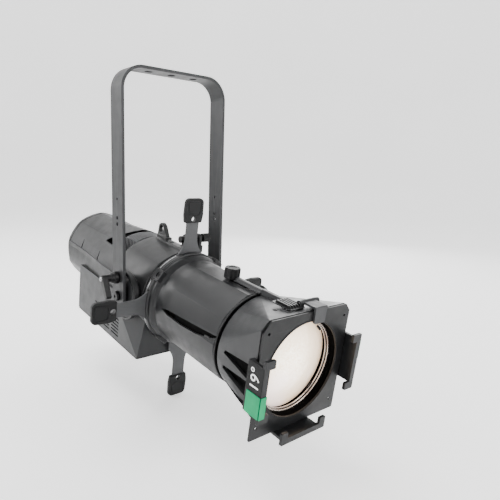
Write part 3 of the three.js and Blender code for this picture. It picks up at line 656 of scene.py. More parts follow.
def make_trunnions():
    """The round bosses that the yoke's legs turn on, with their bolts and washers."""
    rise = LOCK_Z - PIVOT.z * 1000
    for name, side in (("left", -1), ("right", 1)):
        inner, outer = side * 80.8, side * 91
        low, high = min(inner, outer), max(inner, outer)
        plate = rod("x", 41, low, high, edge=2.2, segments=80)
        groove_low, groove_high = (low - 1, low + 1.2) if side < 0 else (high - 1.2, high + 1)
        plate = cut(plate, ring(36.4, 38, groove_low, groove_high, 0.2, "x", 80))
        plate = cut(plate, rod("x", 5.3, low - 2, high + 2))
        if side < 0:
            upright = 90 - math.degrees(REST_TILT)
            first, last = upright - 90.5, upright + 34.5
            slot = arc(0, 0, rise + 5, first, last, 36) + arc(0, 0, rise - 5, last, first, 36)
            for span in ((low + 6.5, high + 1), (low - 1, low + 6.6)):
                plate = cut(plate, prism("x", slot, *span))
        piece(f"tilt_boss_{name}", softened(plate, 0.5, 2, 50), "head", DARK_PAINT, [f"tilt_plate_{name}"])
        tip, seat = side * 106, side * 100.3
        low, high = min(tip, seat), max(tip, seat)
        head = rod("x", 8.4, low, high, edge=1.4, segments=56)
        socket = (low - 1, low + 3) if side < 0 else (high - 3, high + 1)
        head = cut(head, prism("x", circle(3.1, 0, 0, 6), *socket))
        shank = rod("x", 5, min(side * 82, seat), max(side * 82, seat), edge=0.5)
        piece(
            f"pivot_screw_{name}", union(head, shank), "head", BLACK_PLASTIC, [f"pivot_bolt_{name}"],
            slot="steel")
        low, high = sorted((side * 91.3, side * 94.7))
        piece(
            f"washer_{name}", ring(5.4, 13, low, high, 0.5, "x", 56), "head", BLACK_PLASTIC,
            [f"friction_washer_{name}"])


# ---- housing ------------------------------------------------------------------------------------
WALL = 3
SEAM_GAP = 0.4
TAPER_START = 112
TAPER_LENGTH = 93
HOUSING_FLAT = 1.5
TAIL_FLAT = 2.2
SLOT_YS = (140, 224)
LOUVRE_YS = (45, 80, 115)
LOUVRE_ROWS = 6
LOUVRE_TOP = -60
LOUVRE_PITCH = 6.2
WINDOW = [(64, 51, 2), (150, 51, 1.5), (104, 82, 6), (104, 100), (64, 100)]


def shell_radius(y, inset):
    """The barrel-like outer form: full at the front, a little smaller at the tail."""
    share = min(1, max(0, (y - TAPER_START) / TAPER_LENGTH))
    return SHELL_R + (TAIL_R - SHELL_R) * share - inset


def facet_drop(angle, creases, depth):
    """How far a bulging flat between two creases sinks below the full circle."""
    for start, end in zip(creases, creases[1:] + (creases[0] + 360,)):
        turn = (angle - start) % 360
        if turn <= (end - start) % 360:
            place = 2 * turn / ((end - start) % 360) - 1
            return depth * (1 - place * place)
    return 0


def skin(radius_of, ys, inner=0, segments=120):
    """A closed tube about the optical axis. Its outer radius follows from (angle in degrees, y)."""
    rows = [(radius_of, y) for y in ys] + [(lambda angle, y: inner, y) for y in reversed(ys)]
    points, faces = [], []
    for rule, y in rows:
        for i in range(segments):
            angle = 360 * i / segments
            radius = rule(angle, y)
            points.append(
                (radius * math.cos(math.radians(angle)), y, radius * math.sin(math.radians(angle))))
    for k in range(len(rows)):
        m = (k + 1) % len(rows)
        for i in range(segments):
            j = (i + 1) % segments
            faces.append([k * segments + i, k * segments + j, m * segments + j, m * segments + i])
    return mesh_of(points, faces)


BELLY_DEPTH = 4
HOUSING_CREASES = (6, 51, 90, 129, 174, 222, 270, 318)
TAIL_CREASES = (13, 50, 90, 130, 167, 200, 235, 270, 305, 340)


def belly(angle, y):
    """The tail swells a little low on both sides, where it runs down into the driver bay."""
    low = min(abs(angle - 212), abs(angle - 328))
    return BELLY_DEPTH * max(0, 1 - (low / 38) ** 2) * min(1, max(0, (y - TAPER_START) / 60))


def housing_tube(inset):
    reach = 5 if inset else 0

    def outer(angle, y):
        fade = min(1, max(0, (62 - y) / 14))
        edge = max(0, (SHELL_FRONT + 1.6 - y)) * 0.8 + max(0, (y - SHELL_REAR + 1.2)) * 0.8
        front_flat = facet_drop(angle, HOUSING_CREASES, HOUSING_FLAT)
        tail_flat = facet_drop(angle, TAIL_CREASES, TAIL_FLAT)
        flats = front_flat * fade + tail_flat * (1 - fade)
        drop = 0 if inset else flats + edge - belly(angle, y)
        return shell_radius(y, inset) - drop

    front, rear = SHELL_FRONT - reach, SHELL_REAR + reach
    middle = [-30, -10, 10, 30, 44, 50, 56, 62, 90, 112, 140, 170, 205, 250]
    ys = [front, front + 0.8, front + 1.6, *middle, rear - 1.2, rear - 0.6, rear]
    return skin(outer, ys)


def bay_block(inset):
    """The driver bay under the tube, with its front corners folded away."""
    wall = BAY_HALF - inset
    floor = BAY_FLOOR - (5 if inset else 0)
    section = [
        (-wall, floor), (wall, floor), (wall, -40), (wall - 1, -12 - inset), (1 - wall, -12 - inset),
        (-wall, -40)]
    block = prism("y", section, SHELL_FRONT + inset, BAY_REAR - inset)
    for side in (-1, 1):
        corner = Vector((side * BAY_HALF, SHELL_FRONT, BAY_FLOOR))
        along_side = Vector((0, 62, 54))
        across_front = Vector((-side * 10, 0, 54))
        outward = along_side.cross(across_front).normalized()
        if outward.x * side < 0:
            outward.negate()
        block = sliced(block, corner - outward * inset, outward)
    return block


def housing_shell():
    outer = union(housing_tube(0), bay_block(0))
    inner = union(housing_tube(WALL), bay_block(WALL))
    return cut(outer, inner)


def half_space(low, high):
    return cuboid("y", -300, 300, low, high, -400, 400)


def make_housing():
    upper = common(housing_shell(), half_space(SEAM_Z + SEAM_GAP, 300))
    upper = cut(upper, slab("x", WINDOW, -300, 300, 0, 4))
    for y in SLOT_YS:
        slot = slab(
            "x",
            [(y - 2.2, SEAM_Z + 1), (y + 2.2, SEAM_Z + 1), (y + 6.4, SEAM_Z + 17), (y + 4.6, SEAM_Z + 17)],
            -300, 300, 0.8, 3)
        upper = cut(upper, slot)
    piece("upper_shell", softened(upper, 0.7, 2, 40), "head", HOUSING_PAINT, ["housing_upper"], crease=7)
    lower = common(housing_shell(), half_space(-300, SEAM_Z - SEAM_GAP))
    for y in LOUVRE_YS:
        for row in range(LOUVRE_ROWS):
            z = LOUVRE_TOP - row * LOUVRE_PITCH
            lower = cut(
                lower,
                slab(
                    "x", [(y - 15, z - 1.3), (y + 13, z - 1.3), (y + 15, z + 1.3), (y - 13, z + 1.3)],
                    -BAY_HALF - 2, BAY_HALF + 2, 1, 3))
    piece("lower_shell", softened(lower, 0.9, 2, 40), "head", HOUSING_PAINT, ["housing_lower"], crease=7)


FIN_PITCH = 5.4
FIN_T = 1.5
FIN_HALF = 34
FIN_COUNT = 15
FIN_FIRST = 69
FIN_R = 77.6
CORE_R = 76.2


def fin_section(radius, half, y, thick):
    """One plate across the axis: round on top, flat at its sides."""
    side = math.degrees(math.acos(half / radius))
    outline = arc(0, 0, radius, side, 180 - side, 24) + [(-half, -60), (half, -60)]
    return prism("y", outline, y, y + thick)


def make_heat_sink():
    """Fins across the axis that fill the window, on a near-black core that paints the shade between them.
    """
    fins = []
    for i in range(FIN_COUNT):
        y = FIN_FIRST + i * FIN_PITCH
        radius = FIN_R if y < 100 else 75 - 0.2 * max(0, y - 104)
        fins.append(fin_section(radius, FIN_HALF, y, FIN_T))
    last = FIN_FIRST + (FIN_COUNT - 1) * FIN_PITCH
    sink = union(rod("y", 24, 67, last + 4, edge=0.5), *fins)
    piece("fin_stack", sink, "head", SINK, ["heat_sink"])
    # Near-black block behind the fins: painted shade in the gaps between them.
    core = fin_section(CORE_R, FIN_HALF - 1.2, FIN_FIRST + 0.5, last - FIN_FIRST - 1)
    core = common(core, skin(lambda a, y: shell_radius(y, 5.4), [60, 90, 112, 160]))
    piece("fin_shadow", core, "head", PAINTED_SHADE_BLACK, slot="sink_aluminium")


def screw(name, body, x, y, z, turn=None, radius=3.2, height=1.6, material=STEEL):
    """A button-head screw with a hex socket, facing up and then turned about the optical axis."""
    head = lathe(
        [
            (0, -1), (radius, -1), (radius, 0.3), (radius * 0.86, height * 0.75), (radius * 0.5, height),
            (0, height)], "z", 28)
    head = cut(head, prism("z", circle(radius * 0.42, 0, 0, 6), height * 0.2, height + 1))
    if turn is None:
        head = turned(head, 180, "Y")
    head = moved(head, x, y, z)
    if turn is not None:
        head = turned(head, turn)
    piece(name, head, body, material, slot="steel")


def make_bottom_cover():
    plate = cuboid("z", COVER_LO.x, COVER_HI.x, COVER_LO.y, COVER_HI.y, COVER_LO.z, COVER_HI.z, 3, 4)
    for i in range(9):
        y = COVER_LO.y + 70 + i * 12
        plate = cut(plate, cuboid("z", -34, 34, y - 2, y + 2, COVER_LO.z - 1, COVER_HI.z + 1, 1.9, 4))
    piece(
        "base_plate", softened(plate, 0.6, 2, 40), "head", DARK_PAINT, ["bottom_cover"],
        slot="housing_paint")
    inset = 9
    xs = (COVER_LO.x + inset, COVER_HI.x - inset)
    ys = (COVER_LO.y + inset, COVER_HI.y - inset)
    places = [(x, y) for y in ys for x in xs]
    for i, (x, y) in enumerate(places):
        screw(f"cover_screw_{i + 1}", "head", x, y, COVER_LO.z + 0.9, None, 3, 1.1)


def make_rear_cap():
    rear = CAP_HI.y
    front = CAP_LO.y
    profile = rounded(
        [
            (0, front + 8, 0), (TAIL_R - 3.5, front + 8, 1), (TAIL_R - 3.5, front, 0.5),
            (TAIL_R, front, 0.5), (TAIL_R, rear - 6, 3), (TAIL_R - 7, rear, 5), (0, rear, 0)], 0, 6)
    cap = lathe(profile, "y", 120)
    flats = skin(
        lambda angle, y: TAIL_R + 0.5 - facet_drop(angle, TAIL_CREASES, TAIL_FLAT), [front - 1, rear + 1])
    cap = common(cap, flats)
    for i in range(-4, 5):
        height = 16 - abs(i)
        cap = cut(
            cap,
            cuboid(
                "y", i * 8 - 2, i * 8 + 2, 52 - height / 2, 52 + height / 2, rear - 20, rear + 1, 1.9, 5))
    cap = cut(cap, cuboid("y", -32, 32, 14, 38, rear - 20, rear + 1, 1.2, 3))
    for i in range(4):
        low, high = box_in(HEAD, f"control_button_{i + 1}")
        x, z = (low.x + high.x) / 2, (low.z + high.z) / 2
        cap = cut(cap, rod("y", 4.6, rear - 20, rear + 1, x, z))
        button = rod("y", 4.15, rear - 8, high.y, x, z, 1.1)
        button = union(button, rod("y", 5.5, rear - 8, rear - 5, x, z, 0.4))
        piece(f"button_cap_{i + 1}", button, f"button_{i + 1}", GREY_PLASTIC, [f"control_button_{i + 1}"])
    for name in ("power_inlet", "power_outlet", "data_input", "data_output"):
        low, high = box_in(HEAD, name)
        x, z = (low.x + high.x) / 2, (low.z + high.z) / 2
        radius = (high.x - low.x) / 2
        cap = cut(cap, rod("y", radius + GAP, rear - 20, rear + 1, x, z, segments=56))
        body = rod("y", radius, low.y, high.y, x, z, 0.9, 56)
        body = cut(body, rod("y", radius - 3, rear - 14, rear + 3, x, z, segments=56))
        body = cut(body, ring(radius - 1.9, radius - 1.2, high.y - 0.5, high.y + 1, 0.1, "y", 56, (x, z)))
        pins = 3 if name.startswith("power") else 5
        for k in range(pins):
            angle = 2 * math.pi * k / pins + 0.4
            pin = rod(
                "y", 0.9, rear - 14.5, rear - 7, x + 4.4 * math.cos(angle), z + 4.4 * math.sin(angle), 0.4,
                16)
            body = union(body, pin)
        piece(f"{name}_socket", body, "head", BLACK_PLASTIC, [name])
    piece("rear_shell", softened(cap, 0.45, 2, 45), "head", HOUSING_PAINT, ["rear_cap"])
    low, high = box_in(HEAD, "control_display")
    piece(
        "display_window", cuboid("y", low.x, high.x, low.z, high.z, low.y, high.y, 1, 3), "head", SCREEN,
        ["control_display"])
    for i, angle in enumerate((40, 140, 220, 320)):
        x, z = 62 * math.cos(math.radians(angle)), 62 * math.sin(math.radians(angle))
        head = cut(
            rod("y", 3.2, rear - 0.5, rear + 0.9, x, z, 0.5),
            prism("y", circle(1.4, x, z, 6), rear + 0.1, rear + 2))
        piece(f"cap_screw_{i + 1}", head, "head", STEEL)


# ---- safety loop and rotation lock --------------------------------------------------------------
def make_safety_loop():
    base = LOOP_LO.z
    top = LOOP_HI.z
    ear = slab(
        "x",
        [
            (4, base - 2, 0), (51, base - 2, 0), (50.5, base + 4, 3), (47, top - 5, 7),
            (38.5, top + 0.2, 9), (30, top - 5, 7), (18, base + 6, 8), (4, base + 3.5, 2)], -3.6, 3.6, 0, 6)
    spine = slab(
        "y", [(-7.5, base - 4), (7.5, base - 4), (5.6, base + 2.4, 1.2), (-5.6, base + 2.4, 1.2)], -36, 50,
        0, 4)
    hole = rod("x", 6.2, -6, 6, 38.5, base + 19.5, segments=32)
    rib = slab("z", [(-6.5, 16), (6.5, 16), (4.4, 50), (-4.4, 50)], base - 2, base + 8, 1.5, 3)
    shape = cast(cut(union(ear, spine, rib), hole), 0.7, 3)
    piece("safety_eye", shape, "head", HOUSING_PAINT, ["safety_loop"])


def make_rotation_lock():
    _, y, z = HEAD.inverted() @ Vector(JOINTS["rotation_lock_turn"]["pos_m"])
    skin_r = SHELL_R + GAP
    lugs = [
        slab("x", [(y - 9, 74), (y + 9, 74), (y + 8, z + 8), (y - 8, z + 8)], *span, 7, 6)
        for span in ((8, 13), (33, 38))]
    foot = cuboid("z", 4, 42, y - 8, y + 8, 70, 82, 2, 3)
    body = union(lugs[0], lugs[1], foot)
    body = cut(body, rod("y", skin_r, -60, 20, segments=120), rod("x", 3.4, 0, 50, y, z))
    piece("rotation_lugs", softened(body, 0.8, 3, 40), "head", DARK_PAINT, ["rotation_clamp"])
    knob = rod("x", 7.6, 42.5, 58, y, z, 1.4, 60)
    knob = fluted(knob, "x", 9, 1.5, 45, 60, 8.2, y, z, 20)
    screw_body = union(rod("x", 3, 5, 43, y, z, 0.3), rod("x", 6, -2, 7, y, z, 0.6))
    piece(
        "rotation_screw", union(softened(knob, 0.5, 2, 40), screw_body), "rotation_lock", BLACK_PLASTIC,
        ["rotation_lock_knob"])


# ---- framing shutters ---------------------------------------------------------------------------
SHUTTERS = {"top": 0, "right": 90, "bottom": 180, "left": 270}
BLADE_T = 1.6
STRIP_HALF = 12
BOSS_TURNS = (-51, 39, 129, 219)
BOSS_Y = -58.5
BOSS_SEAT = 79.6
GUIDE_Y = (-49.6, -48.4)
GUIDE_BANDS = ((54, 70), (20, 30), (110, 122), (145, 160), (200, 212), (228, 256), (284, 300), (317, 341))


def blade_middle(name):
    low, high = box_in(HEAD, f"shutter_blade_{name}")
    return (low.y + high.y) / 2


def blade_shift(name):
    """How far the blade stands outward of its stored place."""
    low, high = box_in(HEAD, f"shutter_blade_{name}")
    reach = {"top": high.z, "right": high.x, "bottom": -low.z, "left": -low.x}[name]
    return reach - 150


def make_shutters():
    flare_top, flare_low = 106, 78
    for name, turn in SHUTTERS.items():
        y = blade_middle(name)
        shift = blade_shift(name)
        half = [(33.5, 20), (33.5, 46), (24, 54), (23.4, flare_low - 4)]
        for i in range(13):
            z = flare_low + (flare_top - flare_low) * i / 12
            share = (flare_top - z) / (flare_top - flare_low)
            half.append((STRIP_HALF + 11 * share ** 2.1, z))
        half.append((STRIP_HALF, 149.5))
        outline = [(x, z + shift) for x, z in half] + [(-x, z + shift) for x, z in reversed(half)]
        blade = prism("y", outline, y - BLADE_T / 2, y + BLADE_T / 2)
        blade = cut(blade, rod("y", 4.4, y - 3, y + 3, 0, 136 + shift))
        piece(
            f"blade_{name}", turned(softened(blade, 0.3, 2, 50), turn), f"shutter_{name}", BLADE_STEEL,
            [f"shutter_blade_{name}"])
        make_grip(name, turn, y, shift)


def make_grip(name, turn, y, shift):
    """A moulded grip with a hole near its root and a thumb pad outlined on both faces."""
    near, far, deep = 130 + shift, 170 + shift, 3.4
    outline = rounded(
        [
            (-16, near, 2.5), (16, near, 2.5), (18, near + 13, 5), (17, far, 8), (-17, far, 8),
            (-18, near + 13, 5)], 0, 6)
    grip = softened(prism("y", outline, y - deep, y + deep), 1.2, 4, 50)
    pad = rounded(
        [(-11, near + 13.5, 5), (11, near + 13.5, 5), (13.2, far - 3.2, 4.5), (-13.2, far - 3.2, 4.5)], 0,
        6)
    pad_inner = rounded(
        [(-10, near + 14.5, 4.2), (10, near + 14.5, 4.2), (12.2, far - 4.2, 3.7), (-12.2, far - 4.2, 3.7)],
        0, 6)
    for low, high in ((y - deep - 1, y - deep + 0.9), (y + deep - 0.9, y + deep + 1)):
        groove = cut(prism("y", pad, low, high), prism("y", pad_inner, low - 1, high + 1))
        grip = cut(grip, groove)
    clear = BLADE_T / 2 + GAP
    slot = cuboid("y", -STRIP_HALF - GAP, STRIP_HALF + GAP, near - 5, near + 20.3, y - clear, y + clear)
    grip = cut(grip, slot, rod("y", 4.4, y - 9, y + 9, 0, 136 + shift))
    piece(f"grip_{name}", turned(grip, turn), f"shutter_{name}", GREY_PLASTIC, [f"shutter_grip_{name}"])


def make_shutter_housing():
    front, back = RING_LO.y, RING_HI.y
    outer = RING_R
    rim = lathe(
        rounded(
            [
                (42, -60, 1), (42, front + 3, 1), (70, front + 3, 1), (70, front, 0.6),
                (outer - 5.5, front, 1.6), (outer - 2.6, front + 4.4, 1), (outer - 2.6, -57.5, 0.5),
                (outer, -56.2, 1), (outer, back - 0.4, 0.9), (outer - 3, back - 0.4, 0.3),
                (outer - 3, -60, 0.3)], 0, 4), "y", 160)
    rim = cut(rim, ring(outer - 1.1, outer + 2, *GUIDE_Y, 0.2, "y", 160))
    for turn in BOSS_TURNS:
        boss = cuboid("z", -9.5, 9.5, front + 0.6, -45, 70, 81.6, 2.2, 4)
        rim = union(rim, turned(softened(boss, 0.9, 3, 40), turn))
    for name, turn in SHUTTERS.items():
        y = blade_middle(name)
        slot = cuboid("y", -25.5, 25.5, 60, 90, y - 1.15, y + 1.15)
        rim = cut(rim, turned(slot, turn))
    for turn in BOSS_TURNS:
        rim = cut(rim, turned(rod("z", 4.4, BOSS_SEAT, 90, 0, BOSS_Y), turn))
    piece("shutter_rim", rim, "barrel", HOUSING_PAINT, ["shutter_housing_front"])
    for i, turn in enumerate(BOSS_TURNS):
        screw(f"boss_screw_{i + 1}", "barrel", 0, BOSS_Y, BOSS_SEAT, turn, 3.6, 1.4, BLACK_PLASTIC)
    recess = outer - 1.9
    low, high = BACK_RING_LO.y, BACK_RING_HI.y
    section = rounded([(42, low, 0.5), (recess, low, 0.4), (recess, high, 0.8), (42, high, 0.5)], 0, 3)
    back_ring = lathe(section, "y", 160)
    # The back ring takes the near-black copy of the dark paint: painted shade in the gap between the
    # housing and the shutter rim.
    piece("shutter_back_ring", back_ring, "barrel", PAINTED_SHADE_BLACK, ["shutter_housing_rear"])
    make_guide_bands()


def make_guide_bands():
    """Bright edges of the blade guide, showing in the groove between the shutter slots and the bosses."""
    for i, (start, end) in enumerate(GUIDE_BANDS):
        outer = arc(0, 0, RING_R + 0.3, 90 - start, 90 - end, 12)
        inner = arc(0, 0, RING_R - 1.4, 90 - end, 90 - start, 12)
        band = prism("y", outer + inner, *GUIDE_Y)
        piece(f"guide_band_{i + 1}", band, "barrel", STEEL)


# ---- barrel and lens tube -----------------------------------------------------------------------
TUBE_LOCK_Y = -172
TUBE_LOCK_TURN = 50
BARREL_FLAT = 2.1
BARREL_CREASES = (5, 35, 75, 105, 145, 175, 222.5, 270, 317.5)
SIDE_VENT = [
    (-88, 7.5, 0), (-106, 2.5, 2), (-140, 1.8, 20), (-180, 4.6, 12), (-214, 12.5, 4), (-227, 18.5, 0),
    (-170, 14.5, 30), (-104, 10.5, 6)]


def make_barrel():
    back, front = BARREL_HI.y, BARREL_LO.y

    def outer(angle, y):
        fade = min(1, max(0, (-84 - y) / 22))
        fade = fade * fade * (3 - 2 * fade)
        flange = 3 * max(0, min(1, (y - back + 5) / 4.2))
        edge = max(0, front + 1.2 - y) * 0.7 + max(0, y - back + 0.8) * 0.9
        return BARREL_R + flange + 0.1 - edge - facet_drop(angle, BARREL_CREASES, BARREL_FLAT) * fade

    ys = [
        back, back - 0.8, back - 1.6, back - 3.2, back - 5, -80, -84, -88, -92, -96, -100, -106, -130, -160,
        -190, front + 6, front + 1.2, front + 0.6, front]
    tube = skin(outer, ys, BARREL_R - 3.5, 144)
    knob_y = (KNOB_LO.y + KNOB_HI.y) / 2
    travel = 35
    tube = cut(tube, cuboid("z", -5, 5, knob_y - travel - 5, knob_y + 7.5, 50, 90, 4.8, 6))
    lock = cuboid("z", -4, 4, TUBE_LOCK_Y - travel - 5, TUBE_LOCK_Y + 7.5, 50, 90, 3.9, 6)
    tube = cut(tube, turned(lock, TUBE_LOCK_TURN))
    vent = rounded(SIDE_VENT, 0, 6)
    for low, high in ((-90, -50), (50, 90)):
        tube = cut(tube, prism("x", vent, low, high))
    piece("barrel_tube", softened(tube, 0.6, 2, 38), "barrel", HOUSING_PAINT, ["barrel"], crease=7)
    trim = ring(-TRIM_LO.x - 3, TRIM_HI.x, TRIM_LO.y, TRIM_HI.y, 0.8, "y", 128)
    piece("barrel_front_seal", trim, "barrel", BLACK_PLASTIC, ["barrel_trim_ring"])
    make_vent_ribs()


def make_vent_ribs():
    """Small dark catches inside the two side vents, flush behind the barrel's wall."""
    for side, name in ((-1, "left"), (1, "right")):
        low, high = sorted((side * 69.2, side * 70.6))
        rib = slab("x", [(-196, 4), (-206, 7), (-212, 13), (-200, 12)], low, high, 1, 3)
        piece(f"vent_catch_{name}", rib, "barrel", DARK_PAINT, slot="housing_paint")


FLARE_HALF = 80
FLARE_BACK = -230
TOP_CUT = 11
LOW_CUT = 36


def square_corners(half, top_cut, low_cut):
    """The chamfered square at the front, in (x, z), from the right side round by the top."""
    return [
        (half, low_cut - half), (half, half - top_cut), (half - top_cut, half), (top_cut - half, half),
        (-half, half - top_cut), (-half, low_cut - half), (low_cut - half, -half), (half - low_cut, -half)]


def flare(radius, half, back, front, fan=10):
    """Round at the back, a chamfered square at the front: flat sides with a cone at each corner."""
    corners = square_corners(half, TOP_CUT, LOW_CUT)
    count = len(corners)
    points = [(u, front, v) for u, v in corners]
    total = count * fan
    for i in range(total):
        angle = 2 * math.pi * i / total
        points.append((radius * math.cos(angle), back, radius * math.sin(angle)))
    faces = [list(range(count)), list(range(count, count + total))]
    for k in range(count):
        nxt = (k + 1) % count
        apex = count + (k * fan) % total
        faces.append([k, nxt, apex])
        for step in range(fan):
            first = count + (k * fan + step) % total
            second = count + (k * fan + step + 1) % total
            faces.append([nxt, first, second])
    return mesh_of(points, faces)


LOUVRE_TURNS = (276, 259, 241, 223, 84, 101, 119, 137)


def make_lens_tube():
    back, front = FLARE_BACK, FLARE_LO.y
    outer = flare(TUBE_R + 3.5, FLARE_HALF, back, front)
    spine = slab("y", [(-5.4, 64), (5.4, 64), (3.4, 79.3, 1.5), (-3.4, 79.3, 1.5)], -277, back, 0, 4)
    outer = union(outer, spine)
    pin_y, pin_z = LATCH_PIN.y, LATCH_PIN.z
    for x0, x1 in ((LATCH_LO.x - 7, LATCH_LO.x - 0.5), (LATCH_HI.x + 0.5, LATCH_HI.x + 7)):
        outer = union(
            outer,
            slab(
                "x",
                [
                    (pin_y - 4, 76, 0), (pin_y + 4, 76, 0), (pin_y + 3.6, pin_z + 3.3, 3),
                    (pin_y - 3.6, pin_z + 3.3, 3)], x0, x1, 0, 5))
    outer = softened(outer, 1.1, 3, 24)
    inner = flare(TUBE_R - 1, FLARE_HALF - 5, back + 1, front - 1)
    body = cut(outer, inner)
    for turn in LOUVRE_TURNS:
        opening = slab(
            "z", [(-10.5, front + 11, 1.5), (10.5, front + 11, 1.5), (3.4, -247, 1.2), (-1.4, -245, 1)], 58,
            112, 0, 4)
        body = cut(body, turned(opening, turn))
    body = cut(body, rod("x", 1.9, LATCH_LO.x - 9, LATCH_HI.x + 9, pin_y, pin_z, segments=20))
    for x in (-35, 35):
        body = cut(body, rod("z", 3, 60, 90, x, -289, segments=28))
    # The sleeve and the flare liner take the near-black copy of the dark paint: painted shade inside the
    # tube.
    piece(
        "tube_sleeve", ring(TUBE_R - 3.5, TUBE_R, back - 1, -118, 0.6, "y", 120), "lens_tube", PAINTED_SHADE_BLACK)
    liner = [
        (65.4, -232), (68, -262), (70.2, -290), (70.2, front + 3), (71.3, front + 3), (71.3, -290),
        (69.1, -262), (66.5, -232)]
    piece("flare_liner", lathe(liner, "y", 96), "lens_tube", PAINTED_SHADE_BLACK)
    grille = cuboid("z", -26, 2, -306, -272, 80.2, 81.4, 3, 4)
    for i in range(5):
        x = -21 + i * 4.6
        grille = union(
            grille,
            slab(
                "x", [(-303, 80.6, 0), (-275, 80.6, 0), (-277, 84.3, 1.2), (-301, 84.3, 1.2)], x - 1.2,
                x + 1.2, 0, 3))
    piece("latch_grille", softened(grille, 0.3, 2, 40), "lens_tube", BLACK_PLASTIC)
    piece("flare_casting", body, "lens_tube", HOUSING_PAINT, ["lens_tube"], crease=4)


def make_focus_parts():
    """The focus knob, the rail that it clamps and the small lock knob beside it."""
    low, high = KNOB_LO, KNOB_HI
    y = (low.y + high.y) / 2
    seat = high.z - 12.5
    top = high.z + 4
    knob = rod("z", 12, seat, top, 0, y, 1.4, 84)
    knob = fluted(knob, "z", 7, 3.4, seat + 2.5, top + 1, 13.4, 0, y, 28, 0.5)
    knob = softened(knob, 1.0, 3, 35)
    knob = cut(knob, rod("z", 6, top - 0.8, top + 1, 0, y, segments=40))
    knob = union(knob, rod("z", 3.6, low.z, seat + 1, 0, y))
    piece("focus_grip", knob, "focus_lock", GREY_PLASTIC, ["focus_knob"])
    rail_low, rail_high = box_in(HEAD, "focus_rail")
    base = rail_low.z
    section = rounded(
        [
            (-6.5, base), (6.5, base), (6.5, base + 1.6, 0.8), (4.2, base + 2.2, 1), (3, rail_high.z, 1.4),
            (-3, rail_high.z, 1.4), (-4.2, base + 2.2, 1), (-6.5, base + 1.6, 0.8)], 0, 4)
    rail = prism("y", section, rail_low.y, rail_high.y)
    # The rail is real, but it takes the lighter strap paint though its slot is the housing paint: a painted
    # highlight along the top of the barrel.
    piece(
        "focus_spine", softened(rail, 0.4, 2, 60), "lens_tube", STRAP_PAINT, ["focus_rail"],
        slot="housing_paint")
    lock_low, lock_high = 73.5, 79
    wing = rod("z", 9, lock_low, lock_high, 0, TUBE_LOCK_Y, 1.2, 48)
    wing = fluted(wing, "z", 8, 1.4, lock_low - 1, lock_high + 1, 9.4, 0, TUBE_LOCK_Y, 18)
    wing = union(softened(wing, 0.5, 2, 38), rod("z", 3.2, 67, 74, 0, TUBE_LOCK_Y))
    piece("tube_lock_grip", turned(wing, TUBE_LOCK_TURN), "tube_lock", GREY_PLASTIC, ["tube_lock_knob"])


# ---- lenses -------------------------------------------------------------------------------------
def make_lenses():
    rim_y = LENS_HI.y - 4
    crown = rim_y - LENS_LO.y
    radius = LENS_HI.x
    profile = [(0, LENS_HI.y), (radius - 0.5, LENS_HI.y), (radius, LENS_HI.y - 0.6), (radius, rim_y)]
    steps = 18
    for i in range(1, steps + 1):
        share = 1 - i / steps
        profile.append((radius * share, rim_y - crown * (1 - share ** 2)))
    piece("front_glass", lathe(profile, "y", 128), "lens_tube", LENS, ["front_lens"], crease=50)
    keeper = ring(61, 67, LENS_HI.y + GAP, LENS_HI.y + 5, 0.7, "y", 120)
    for turn in (45, 135, 225, 315):
        leg = cuboid("z", -6, 6, rim_y - 5.5, rim_y + 8, radius + 0.3, radius + 5, 1.2, 3)
        hook = cuboid("z", -5, 5, rim_y - 5.5, rim_y - 3.2, radius - 5, radius + 2, 0.6, 3)
        keeper = union(keeper, turned(union(leg, hook), turn))
    piece("lens_keeper", keeper, "lens_tube", BLACK_PLASTIC, ["lens_retainer"])
    for i, (inner, outer, y) in enumerate(((61.5, 64.6, rim_y - 6.4), (63.4, 65.6, rim_y - 9.4))):
        piece(
            f"lens_bezel_{i + 1}", ring(inner, outer, y - 0.9, y + 0.5, 0.4, "y", 128), "lens_tube", BEZEL)


# ---- accessory holder ---------------------------------------------------------------------------
def make_channels():
    front, back = CHANNEL_LO.y, CHANNEL_HI.y
    seat = PLATE_HI.y + GAP + 1
    for name, turn, outer in (
        ("right", 0, CHANNEL_HI.x), ("bottom", 90, CHANNEL_HI.x - 2), ("left", 180, CHANNEL_HI.x)):
        lip = outer - 8.5
        section = [
            (outer, back), (outer, front), (lip, front), (lip, front + 4), (outer - 4, front + 4),
            (outer - 4, seat), (FLARE_HALF + 1, seat), (FLARE_HALF + 1, back)]
        shape = prism("z", section, -33, 33)
        for side in (-1, 1):
            near, far = sorted((side * 30, side * 41))
            shape = union(shape, cuboid("y", outer - 17, outer, near, far, front, front + 4, 1.4, 4))
        piece(
            f"channel_{name}", turned(softened(shape, 0.9, 3, 40), turn), "lens_tube", DARK_PAINT,
            [f"frame_channel_{name}"])


def make_plate():
    """The sheet metal colour frame, with two clipped corners and four holes."""
    low, high = PLATE_LO.y, PLATE_HI.y
    h = PLATE_HI.x
    outline = [(-h, -h, 2), (h, -h, 2), (h, h - 10, 2), (h - 9, h, 2), (-h + 12, h, 2), (-h, h - 14, 2)]
    plate = slab("y", outline, low, high, 0, 4)
    plate = cut(plate, rod("y", 66, low - 5, high + 5, segments=144))
    for u, v in ((-1, 1), (1, 1), (-1, -1), (1, -1)):
        plate = cut(plate, rod("y", 2, low - 5, high + 5, u * (h - 10), v * (h - 16), segments=24))
    piece("gel_frame", softened(plate, 0.4, 2, 40), "lens_tube", DARK_PAINT, ["colour_frame"])
    rim = ring(66.2, 68.2, low - 0.7, low + 0.2, 0.3, "y", 144)
    piece("gel_frame_rim", rim, "lens_tube", DARK_PAINT)


